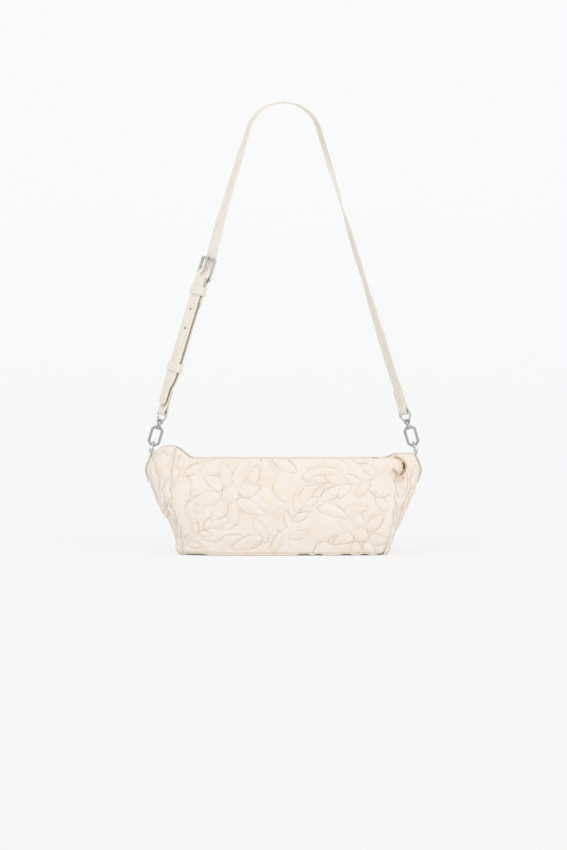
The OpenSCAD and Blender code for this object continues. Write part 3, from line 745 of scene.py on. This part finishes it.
def threads(name, quilting, lift):
    """One fine thread along each outline, lying in its groove on the wall."""
    whole = bmesh.new()
    for line in quilting.lines:
        spots = [lift(u, v) for u, v in line[::2]]
        spots = [s for s in spots if s is not None]
        if len(spots) < 4:
            continue
        ring = []
        for k, (spot, normal) in enumerate(spots):
            ahead = spots[min(k + 1, len(spots) - 1)][0] - spots[max(k - 1, 0)][0]
            side = ahead.cross(normal)
            if side.length < 1e-9:
                side = Vector((1, 0, 0))
            side.normalize()
            up = side.cross(ahead).normalized()
            if up.dot(normal) < 0:
                up = -up
            ring.append([whole.verts.new(spot + THREAD_R * (side * math.cos(a) + up * math.sin(a)))
                         for a in (0.0, 1.2566, 2.5133, 3.7699, 5.0265)])
        for one, two in zip(ring, ring[1:]):
            for k in range(5):
                whole.faces.new((one[k], one[(k + 1) % 5], two[(k + 1) % 5], two[k]))
        whole.faces.new(ring[0][::-1])
        whole.faces.new(ring[-1])
    face_out(whole)
    return piece(name, whole, THREAD, "bag")


def quilted_wall(name, turn_over, size, place, lie, edge_of, quilting, under_tab=None):
    """A wall made from place(u, v) and pushed out by its quilting, whose pattern lies at lie(u, v)."""
    coords = []

    def pin(u, v):
        coords.append((*lie(u, v), hold_at(v)))
        return place(u, v)

    bm = grid(*size, pin)
    if turn_over:
        bmesh.ops.reverse_faces(bm, faces=bm.faces)
    groove_shade, depth = relief(bm, coords, quilting, edge_of, under_tab)
    made = piece(name, bm, CLOTH, "bag", [name])
    # The groove and depth tints are painted shade for the cloth's colour.
    mark(made, "groove_shade", groove_shade)
    mark(made, "depth", depth)
    thicken(made, 0.6, -1.0)


def on_cloth(p, along, up, out, u, v, quilting):
    """Where a thread lies at a wall point, and the way out of the wall there."""
    normal = (along - p).cross(up - p).normalized()
    if normal.dot(out) < 0:
        normal = -normal
    return p + normal * (quilting.height(u, v, 9.0) - creased(p)[0] + thread_rise(u, v)), normal


FOOT_GAPS = ((-95, 13), (22, 8), (38, 5), (68, 7), (88, 5), (107, 7))
FOOT_T = 0.12


def foot_lift(x, t, side):
    """Height of the small arches between puffs along the front's lower edge."""
    if side > 0 or t >= FOOT_T:
        return 0.0
    return sum(1.7 * math.exp(-((x - at) / wide) ** 4) for at, wide in FOOT_GAPS) * (1.0 - t / FOOT_T)


def long_wall(name, side, quilting):
    def place(u, v):
        t, inset, more = climb(v)
        x = seam_at(t) * (2.0 * u - 1.0)
        p = wall_point(x, t, inset, side)
        p.z += more
        p.z += foot_lift(x, t, side)
        return p

    def lie(u, v):
        t = climb(v)[0]
        x = seam_at(t) * (2.0 * u - 1.0)
        return x, level(t, x / half_len(t))

    def edge_of(u, v):
        return max(0.0, min(seam_at(v / BAG_H) - abs(u), v - 0.2, level(1.0, u / half_len(1.0)) - v + 1.5))

    def lift(u, v):
        t = min(1.0, max(0.0, v / BAG_H))
        for _ in range(5):
            t = min(1.0, max(0.0, v / (BAG_H + ear_at(u / half_len(t)) * t * t)))
        if abs(u) > seam_at(t) - 1.0 or not 0.02 <= t <= 0.985:
            return None
        p = wall_point(u, t, 0.0, side)
        if lobe_at(p) > 0.2:
            return None
        p.z += foot_lift(u, t, side)
        return on_cloth(p, wall_point(u + 1.0, t, 0.0, side), wall_point(u, min(1.0, t + 0.01), 0.0, side),
                        Vector((0, side, 0)), u, v, quilting)

    quilted_wall(name, side > 0, (280, 132), place, lie, edge_of, quilting)
    threads(name + "_outlines", quilting, lift)


def end_wall(name, side, quilting):
    def reach_at(t):
        """Arc length from the end's middle to its seam."""
        return 30.0 + 24.0 * (1.0 - t)

    def angle_at(u, t):
        return seam_angle(t) * rounded(2.0 * u - 1.0, 1.25)

    def place(u, v):
        t, inset, more = climb(v)
        p = end_point(angle_at(u, t), t, inset, side)
        p.z += more
        return p

    def lie(u, v):
        t = climb(v)[0]
        angle = angle_at(u, t)
        return math.copysign((abs(angle) / seam_angle(t)) ** 0.9, angle) * reach_at(t), t * BAG_H

    def edge_of(u, v):
        return max(0.0, min(reach_at(v / BAG_H) - abs(u), v - 0.2, BAG_H - v + 1.5))

    def under_tab(u, v):
        """The wall lies flat under the ring tab."""
        return math.exp(-(u / 8.5) ** 4) * ease((v - 70.0) / 12.0)

    def lift(u, v):
        t = v / BAG_H
        if abs(u) > reach_at(t) - 1.0 or not 0.02 < t < 0.98 or under_tab(u, v) > 0.3:
            return None
        angle = seam_angle(t) * math.copysign((abs(u) / reach_at(t)) ** (1.0 / 0.9), u)
        p = end_point(angle, t, 0.0, side)
        if lobe_at(p) > 0.2:
            return None
        return on_cloth(p, end_point(angle + 0.01, t, 0.0, side), end_point(angle, t + 0.01, 0.0, side),
                        Vector((side, 0, 0)), u, v, quilting)

    quilted_wall(name, side < 0, (200, 150), place, lie, edge_of, quilting, under_tab)
    threads(name + "_outlines", quilting, lift)


long_wall("front_panel", -1, Quilting(front_shapes(), 1.7, 1.0))
long_wall("back_panel", 1, Quilting(back_shapes(), 1.7, 21.0))
end_wall("left_gusset", -1, Quilting(end_shapes(False), 3.2, 41.0))
end_wall("right_gusset", 1, Quilting(end_shapes(True), 2.2, 61.0))


# Base, lining and facings
def ring_point(u, t, inset, z=None):
    """A point round the whole bag, u from 0 to 1."""
    a = 2.0 * math.pi * u
    n = squareness(t)
    c, s = math.cos(a), math.sin(a)
    x = (half_len(t) - inset) * rounded(c, 2.0 / n)
    y = (half_dep(t) - inset) * rounded(s, 2.0 / n)
    return drawn_in(Vector((x, y, level(t, x / (half_len(t) - inset)) if z is None else z)))


def flat_layer(name, inset, z, thick, material, sag=0.0):
    """A flat layer of the base with rounded edges, its underside at z."""
    bm = grid(120, 16, lambda u, v: ring_point(u, 0.0, inset + (half_dep(0.0) - inset - 1.0) * v, z))
    close_up(bm)
    middle = [e for e in bm.edges if e.is_boundary and max(abs(v.co.x) for v in e.verts) < 0.8 * half_len(0.0)
              and max(abs(v.co.y) for v in e.verts) < 0.5 * half_dep(0.0)]
    bmesh.ops.holes_fill(bm, edges=middle, sides=0)
    face_out(bm)
    bm.normal_update()
    if sum(face.normal.z for face in bm.faces) < 0:
        bmesh.ops.reverse_faces(bm, faces=bm.faces)
    for vert in bm.verts:
        vert.co.z += sag * noise.noise(vert.co / 17.0)
    thicken(piece(name, bm, material, "bag", [name]), thick, 1.0, thick * 0.3)


# The base panel's dark colour is painted shade for the gaps under the front's arches.
flat_layer("base_panel", 2.7, 0.1, 1.75, BASE_SHADE_CLOTH)
flat_layer("base_board", 3.4, 2.4, 1.3, BOARD)
flat_layer("lining_floor", 3.9, 4.15, 0.7, LINING, 0.1)


def lining_wall(low, high, inset):
    """The lining inside all four walls, in soft folds."""
    def place(u, v):
        t = (low + (high - low) * v) / BAG_H
        p = ring_point(u, t, inset)
        soft = waver(p.x / 16.0, p.y / 16.0, p.z / 24.0)
        inward = Vector((p.x * 0.2, p.y, 0.0)).normalized()
        return p - inward * (0.35 + 0.3 * soft)
    bm = grid(300, 44, place)
    close_up(bm)
    face_out(bm)
    thicken(piece("lining", bm, LINING, "bag", ["lining"]), 0.5, -1.0)


lining_wall(5.2, 91.2, 3.0)


def inner_sheet(name, side, width, z0, z1, inset, thick, material, roll=0.0):
    """A sewn sheet on the inside of a long wall, with a turned edge along its top."""
    def place(u, v):
        x = width * (u - 0.5)
        t = (z0 + (z1 - z0) * v) / BAG_H
        p = wall_point(x, t, inset + thick / 2.0, side)
        p.y += -side * roll * math.exp(-((1.0 - v) * (z1 - z0) / 1.6) ** 2)
        p.y += -side * 0.12 * waver(x / 9.0, p.z / 9.0, inset)
        return p
    bm = grid(110, 24, place)
    thicken(piece(name, bm, material, "bag", [name]), thick * 0.8, 0.0, thick * 0.25)


inner_sheet("inner_pocket", 1, 112.0, 31.7, 83.7, 4.4, 1.0, LINING, 0.3)
for name, side in (("front_facing", -1), ("back_facing", 1)):
    inner_sheet(name, side, 238.0, 92.0, 105.0, 2.7, 1.2, FACING)


# Zip
ZIP_Z = 98.0
ZIP_LEN = 220.0
TAPE_IN = 4.2
TOOTH_PITCH = 4.0
TEETH_FROM, TEETH_TO = -104.0, 102.0
TAPE_FROM = 3.3


def zip_tape(name, side):
    def place(u, v):
        x = ZIP_LEN * (u - 0.5)
        outer = depth_at(x, (ZIP_Z + 0.8) / BAG_H, TAPE_IN) - 0.1
        y = TAPE_FROM + (outer - TAPE_FROM) * v
        ripple = 0.16 * waver(x / 11.0, y / 5.0, side)
        return Vector((x, side * y, ZIP_Z + 0.4 + ripple))
    bm = grid(180, 10, place)
    face_out(bm)
    made = piece(name, bm, TAPE, "bag", [name])
    thicken(made, 0.6, 0.0)
    return made


def zip_teeth(name, side):
    """A row of teeth, each with a head and a foot on the tape's cord."""
    whole = bmesh.new()

    def block(x0, x1, y0, y1, z0, z1):
        made = bmesh.ops.create_cube(whole, size=1.0)["verts"]
        bmesh.ops.scale(whole, vec=(x1 - x0, abs(y1 - y0), z1 - z0), verts=made)
        bmesh.ops.translate(whole, vec=((x0 + x1) / 2, (y0 + y1) / 2, (z0 + z1) / 2), verts=made)

    x = TEETH_FROM + (TOOTH_PITCH / 2 if side > 0 else 0.0) + 0.4
    while x <= TEETH_TO - 2.0:
        block(x, x + 1.65, side * 1.9, -side * 0.75, 97.45, 99.35)
        block(x - 0.1, x + 1.75, side * 1.5, side * 2.6, 97.35, 99.45)
        x += TOOTH_PITCH
    block(TEETH_FROM, TEETH_TO, side * 2.2, side * 2.9, 97.7, 99.1)
    bmesh.ops.bevel(whole, geom=list(whole.edges), offset=0.18, segments=1, affect="EDGES", profile=0.5,
                    material=-1)
    return piece(name, whole, ZIP_METAL, "bag", [name], smooth=False)


# The tapes and teeth get their modifiers applied and meshes of their own.
for name, side in (("front", -1), ("back", 1)):
    edge = depth_at(0.0, ZIP_Z / BAG_H, TAPE_IN) * MM
    for made in (zip_tape(name + "_zip_tape", side), zip_teeth(name + "_zip_teeth", side)):
        apply_all(made)
        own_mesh(made)


def zip_tab(name, side):
    def place(u, v):
        x = ZIP_LEN / 2.0 + 0.3 + 8.7 * u
        half = depth_at(x, ZIP_Z / BAG_H, TAPE_IN) - 0.5
        return Vector((side * x, half * (2.0 * v - 1.0), ZIP_Z + 0.4))
    bm = grid(10, 24, place)
    face_out(bm)
    thicken(piece(name, bm, FACING, "bag", [name]), 1.3, 0.0, 0.4)


zip_tab("left_zip_tab", -1)
zip_tab("right_zip_tab", 1)


# Ring tabs
RING_X = 145.47
RING_Z = 112.2
LOOP_R = 1.5
TAB_HALF_T = 0.6


def ring_tab(name, side):
    """One band folded round the ring's bar, its two layers lying down the end of the bag."""
    turn_r = LOOP_R + TAB_HALF_T
    turn = [(RING_X + turn_r * math.cos(a), RING_Z + turn_r * math.sin(a))
            for a in [math.radians(d) for d in range(-38, 219, 16)]]
    down_out, down_in = [], []
    for k in range(13):
        t = 1.0 - 0.28 * k / 12.0
        x = half_len(t) + 1.45 - 0.15 * k / 12.0
        z = t * (BAG_H + END_RISE * t * t)
        down_out.append((x + TAB_HALF_T, z))
        down_in.append((x - TAB_HALF_T, z))
    line = [Vector((x, 0.0, z)) for x, z in down_out[::-1] + turn + down_in]

    def path(s):
        at = s * (len(line) - 1)
        k = min(len(line) - 2, int(at))
        here = line[k].lerp(line[k + 1], at - k)
        ahead = (line[min(k + 2, len(line) - 1)] - line[max(k - 1, 0)]).normalized()
        up = Vector((-ahead.z, 0.0, ahead.x))
        return here, Vector((0, 1, 0)), up

    def section(a):
        return 6.5 * rounded(math.cos(a), 0.25), 0.58 * rounded(math.sin(a), 0.6)

    bm = bar(path, section, 110, 24)
    if side < 0:
        bmesh.ops.scale(bm, vec=(-1, 1, 1), verts=bm.verts)
    face_out(bm)
    made = piece(name, bm, TAB, "bag", [name])
    mark(made, "raw_back_and_shade", [0.0] * len(made.data.vertices))


ring_tab("left_ring_tab", -1)
ring_tab("right_ring_tab", 1)


# Strap
BEND_R = 40.0
TOP_Z = 494.0
STRAP_T = 1.8
STRAP_W = 14.4
CHAIN = 43.2
bend_z = TOP_Z - STRAP_T / 2.0 - BEND_R
reach = math.hypot(RING_X, bend_z - RING_Z)
LEAN = math.atan2(RING_X, bend_z - RING_Z) - math.asin(BEND_R / reach)
SIDE = math.sqrt(reach * reach - BEND_R * BEND_R) - CHAIN
ARC = BEND_R * (math.pi - 2.0 * LEAN)
TOTAL = 2.0 * SIDE + ARC
MOST_TURN = math.radians(50.0)
TURN_CURVE = ((0, -0.64), (0.036, -0.64), (0.0525, -1), (0.25, -1), (0.3, -0.82), (0.33, -0.66),
              (0.36, -0.6), (0.39, -0.6), (0.42, -0.42), (0.46, -0.3), (0.5, -0.1), (0.57, -0.4),
              (0.63, -0.45), (0.67, -0.25), (0.7, 0.1), (0.73, 0.33), (0.77, 0.4), (0.8, 0.3),
              (0.83, 0.45), (0.88, 0.64), (1, 0.64))


def strap_frame(s):
    """Centre, outward and wide directions of the strap line at distance s from the left ring."""
    if s <= SIDE:
        a = math.pi - LEAN
    elif s >= SIDE + ARC:
        a = LEAN
    else:
        a = math.pi - LEAN - (s - SIDE) / BEND_R
    at = Vector((BEND_R * math.cos(a), 0.0, bend_z + BEND_R * math.sin(a)))
    if s < SIDE:
        at += (SIDE - s) * Vector((-math.sin(LEAN), 0.0, -math.cos(LEAN)))
    if s > SIDE + ARC:
        at += (s - SIDE - ARC) * Vector((math.sin(LEAN), 0.0, -math.cos(LEAN)))
    w = MOST_TURN * follow(TURN_CURVE, s / TOTAL)
    out = Vector((math.cos(a) * math.cos(w), math.sin(w), math.sin(a) * math.cos(w)))
    wide = Vector((-math.cos(a) * math.sin(w), math.cos(w), -math.sin(a) * math.sin(w)))
    return at, out, wide


def run_at(s):
    """The way along the strap line at distance s."""
    return (strap_frame(s + 0.5)[0] - strap_frame(s - 0.5)[0]).normalized()


PRONG_R = 0.9
FOLD_R = LOOP_R + STRAP_T / 2.0
FOLD_LEN = 26.0
# Distances along the line: the tail's tip, the bar that the prong turns on, the place where the tail
# crosses the buckle's frame, and the frame's far bar.
TAIL_TIP = 8.0
PIVOT = 153.0
CROSS = PIVOT + 9.0
BAR = PIVOT + 24.0
# Offsets from the line: of two layers sewn together, of the tail, and of the strap behind the far bar.
LAYER = STRAP_T / 2.0 + 0.05
TAIL = FOLD_R + STRAP_T + 0.35
BEHIND = 1.2 + STRAP_T / 2.0 + 0.2


def fold(at, d, side):
    """The strap's turn round a ring or a bar at a distance, as (distance, offset) points."""
    shape = [(7, -LAYER), (3.4, -FOLD_R * 0.72), (1.2, -FOLD_R * 0.97), (0, -FOLD_R),
             (-FOLD_R * 0.71, -FOLD_R * 0.71), (-FOLD_R, 0), (-FOLD_R * 0.71, FOLD_R * 0.71),
             (0, FOLD_R), (1.2, FOLD_R * 0.97), (3.4, FOLD_R * 0.72), (7, LAYER)]
    return [(at + d * q[0], side * q[1]) for q in shape]


short_line = ([(FOLD_LEN, -LAYER)] + fold(0, 1, 1)
              + [(FOLD_LEN + 1, LAYER), (FOLD_LEN + 5, LAYER * 0.7), (FOLD_LEN + 9, LAYER * 0.2),
                 (FOLD_LEN + 13, 0), (PIVOT / 2, 0), (PIVOT - FOLD_LEN - 12, 0),
                 (PIVOT - FOLD_LEN - 4, -LAYER)]
              + fold(PIVOT, -1, 1) + [(PIVOT - FOLD_LEN, LAYER)])
long_line = ([(TAIL_TIP, TAIL), (28, TAIL), (PIVOT - 60, TAIL), (PIVOT - 10, TAIL), (PIVOT + 4, TAIL),
              (CROSS - 3, TAIL - 0.6), (CROSS + 3, -BEHIND + 1.3), (CROSS + 6.4, -BEHIND),
              (BAR + 4, -BEHIND), (BAR + 20, -BEHIND * 0.7), (BAR + 40, 0), (SIDE, 0),
              (SIDE + ARC / 2, 0), (SIDE + ARC, 0), (TOTAL - 60, 0), (TOTAL - FOLD_LEN - 14, 0),
              (TOTAL - FOLD_LEN - 4, LAYER)]
             + fold(TOTAL, -1, -1) + [(TOTAL - FOLD_LEN, -LAYER)])


def along(line, step):
    """Even stops along a bent line of (distance, offset), with its corners eased."""
    pts = [Vector((a, b)) for a, b in line]
    stops = []
    for p, q in zip(pts, pts[1:]):
        cells = max(1, int((q - p).length / step))
        for c in range(cells):
            stops.append(p.lerp(q, c / cells))
    stops.append(pts[-1])
    for _ in range(2):
        middle = [(a + b * 2 + c) / 4 for a, b, c in zip(stops, stops[1:], stops[2:])]
        stops = [stops[0]] + middle + [stops[-1]]
    return stops


def band(name, line, tip=None):
    """A strap of even width along a line; tip(distance) narrows it."""
    stops = along(line, 1.6)
    last = len(stops) - 1

    def path(u):
        k = int(round(u * last))
        here = stops[k]
        ahead = stops[min(k + 1, last)] - stops[max(k - 1, 0)]
        ahead.normalize()
        at, out, wide = strap_frame(here.x)
        flat = out * ahead.x - run_at(here.x) * ahead.y
        return at + out * here.y, wide * (tip(here.x) if tip else 1.0), flat

    def section(a):
        return STRAP_W / 2.0 * rounded(math.cos(a), 0.22), STRAP_T / 2.0 * rounded(math.sin(a), 0.55)

    return piece(name, bar(path, section, last, 28), STRAP, "strap", [name])


def tail_tip(s):
    """The tail's end is rounded over its last 6 mm."""
    if s >= TAIL_TIP + 6.0:
        return 1.0
    share = (s - TAIL_TIP) / 6.0
    return min(1.0, math.sqrt(max(0.02, share * (2.0 - min(2.0, share)))))


def hole_cutter(stations):
    """Round holes and squared slots through the strap: (distance, offset, half width, half length)."""
    cutter = bmesh.new()
    for s, offset, half, long in stations:
        at, out, wide = strap_frame(s)
        run = run_at(s)
        made = bmesh.ops.create_cone(cutter, segments=24, radius1=1.0, radius2=1.0, depth=1.0, cap_ends=True)
        square, deep = (1.0, 5.0) if long == half else (0.45, 12.0)
        for vert in made["verts"]:
            x, y, z = rounded(vert.co.x, square), rounded(vert.co.y, square), vert.co.z
            vert.co = at + out * (offset + z * deep) + wide * y * half + run * x * long
    face_out(cutter)
    return in_metres("cutter", cutter, smooth=False)


long_strap = band("strap_long", long_line, tail_tip)
cutter = hole_cutter([(CROSS - 66, TAIL, 1.15, 1.15), (CROSS - 44, TAIL, 1.15, 1.15),
                      (CROSS - 1.0, 2.0, PRONG_R + 0.4, 5.4)])
cut = long_strap.modifiers.new("holes", "BOOLEAN")
cut.object = cutter
cut.solver = "EXACT"
apply_all(long_strap)
bpy.data.objects.remove(cutter)


def raw_side_and_shade(made, first, last, out_from, out_to, tint):
    """Tints a strap where it faces another layer, in part its raw tan back and in part painted shade in the
    gap, and paints shade on the right of its top.
    """
    values = []
    frames = [(s, *strap_frame(s)) for s in map(float, range(first, last))]
    tree = point_tree([f[1] for f in frames])
    for vert in made.data.vertices:
        p = vert.co / MM
        s, at, out, _ = frames[tree.find(p)[1]]
        raw_and_gap_shade = tint if first + 1.0 < s < last - 2.0 and out_from < (p - at).dot(out) < out_to else 0.0
        # Painted shade on the right of the strap's top, where it turns away from the light.
        top_shade = 0.3 * ease((p.x - 2.0) / 20.0) * ease((p.z - 400.0) / 60.0)
        values.append(max(raw_and_gap_shade, top_shade if p.z > 420.0 and p.x > 0.0 else 0.0))
    mark(made, "raw_back_and_shade", values)


# The tail's back is tinted its raw tan, made darker as painted shade in the gap.
raw_side_and_shade(long_strap, 2, 158, TAIL - 1.0, TAIL - 0.4, 0.9)
short_strap = band("strap_short", short_line)
# Here the tint is painted shade on the short strap's face beneath the tail.
raw_side_and_shade(short_strap, 10, 148, 0.4, 3.0, 0.12)


KEEPER_GAP = 0.3


def keeper(name, s, low, high, body):
    """A rounded band of leather round the strap's layers, which lie between two offsets."""
    at, out, wide = strap_frame(s)
    run = out.cross(wide)
    low, high = low - STRAP_T / 2.0 - KEEPER_GAP, high + STRAP_T / 2.0 + KEEPER_GAP
    mid, half_o, half_w = (low + high) / 2.0, (high - low) / 2.0 + 0.65, STRAP_W / 2.0 + 0.4 + 0.65

    def path(u):
        c, q = math.cos(2.0 * math.pi * u), math.sin(2.0 * math.pi * u)
        nx, ny = rounded(c, 1.7) / half_w, rounded(q, 1.7) / half_o
        size = math.hypot(nx, ny)
        centre = at + wide * (half_w * rounded(c, 0.3)) + out * (mid + half_o * rounded(q, 0.3))
        return centre, run, wide * (nx / size) + out * (ny / size)

    def section(a):
        return 5.0 * rounded(math.cos(a), 0.3), 0.6 * rounded(math.sin(a), 0.6)

    made = piece(name, bar(path, section, 72, 24, capped=False), STRAP, body, [name])
    mark(made, "raw_back_and_shade", [0.0] * len(made.data.vertices))


keeper("fixed_keeper", PIVOT - 13.0, -LAYER, TAIL, "strap")
keeper("sliding_keeper", 52.0, 0.0, TAIL, "sliding_keeper")


# Metal nodes keep their CAD shape
def dress(name, material):
    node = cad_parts[name]
    node.data.materials.clear()
    node.data.materials.append(material)
    soft = node.modifiers.new("worn_edges", "BEVEL")
    soft.width = 0.0003
    soft.segments = 2
    soft.limit_method = "ANGLE"
    soft.angle_limit = math.radians(40.0)


for end in ("left_", "right_"):
    for name in ("clip_body", "clip_gate", "gate_pin", "swivel_eye"):
        dress(end + name, SILVER)
    for name in ("bag_ring", "strap_ring"):
        dress(end + name, BRIGHT)
for name in ("buckle_frame", "buckle_prong"):
    dress(name, BRIGHT)
for name in ("zip_slider", "zip_pull", "zip_end_stop"):
    dress(name, ZIP_METAL)


# Floor, backdrop and light
# How bright the camera sees the paper, from just before the bag to the top of the backdrop.
GLOW = ((0.014, 0.666), (0.12, 0.683), (0.19, 0.69), (0.374, 0.714), (0.48, 0.729), (0.624, 0.722),
        (0.853, 0.742), (0.99, 0.745))


def studio():
    f = Finish("studio_paper")
    f.skin_has(Roughness=1.0, Specular_IOR_Level=0.0)
    paths = f.node("ShaderNodeLightPath")
    seen = f.maths("MAXIMUM", paths.outputs["Is Camera Ray"],
                   f.maths("MAXIMUM", paths.outputs["Is Glossy Ray"], paths.outputs["Is Transmission Ray"]))
    paper = f.ramp(f.spots(3.0), [(0.3, (0.84, 0.84, 0.84)), (0.7, (0.86, 0.86, 0.86))])
    f.colour(f.mix(seen, paper, (0.25, 0.25, 0.25)))
    apart = f.node("ShaderNodeSeparateXYZ", [("Vector", f.place)])
    far = f.maths("ADD", apart.outputs["Y"], apart.outputs["Z"])
    tone = f.ramp(f.maths("DIVIDE", f.maths("ADD", far, 1.0), 5.0),
                  [(place, (level_of,) * 3) for place, level_of in GLOW])
    glow = f.node("ShaderNodeEmission", [("Color", tone), ("Strength", seen)])
    both = f.node("ShaderNodeAddShader")
    f.tree.links.new(f.skin.outputs["BSDF"], both.inputs[0])
    f.tree.links.new(glow.outputs["Emission"], both.inputs[1])
    f.tree.links.new(both.outputs["Shader"], f.out.inputs["Surface"])

    def sweep(u, v):
        """The floor runs back, bends up and rises behind the bag."""
        x = (u - 0.5) * 12000.0
        run = v * 9000.0 - 3500.0
        floor_z, floor_end, bend = -0.3, 1500.0, 1400.0
        if run < floor_end:
            return Vector((x, run, floor_z))
        a = min(math.pi / 2.0, (run - floor_end) / bend)
        extra = max(0.0, run - floor_end - bend * math.pi / 2.0)
        return Vector((x, floor_end + bend * math.sin(a), floor_z + bend * (1.0 - math.cos(a)) + extra))

    made = in_metres("studio_sweep", grid(8, 160, sweep))
    made.data.materials.append(f.material)


studio()

world = bpy.data.worlds.new("studio")
bpy.context.scene.world = world
world.use_nodes = True
sky = world.node_tree.nodes["Background"]
sky.inputs["Color"].default_value = (1.0, 1.0, 1.0, 1.0)
sky.inputs["Strength"].default_value = 0.80


def soft_lamp(name, place, aim, size, watts):
    data = bpy.data.lights.new(name, "AREA")
    data.shape = "RECTANGLE"
    data.size, data.size_y = size
    data.energy = watts
    made = add_object(name, data)
    made.location = place
    made.rotation_euler = (Vector(aim) - Vector(place)).to_track_quat("-Z", "Y").to_euler()


soft_lamp("key", (-0.9, -1.2, 1.7), (0, 0, 0.1), (0.9, 0.9), 7.3)
soft_lamp("fill", (1.3, -1.5, 0.9), (0, 0, 0.15), (1.4, 1.4), 7.8)

bpy.context.scene.view_settings.view_transform = "Standard"
bpy.context.view_layer.update()
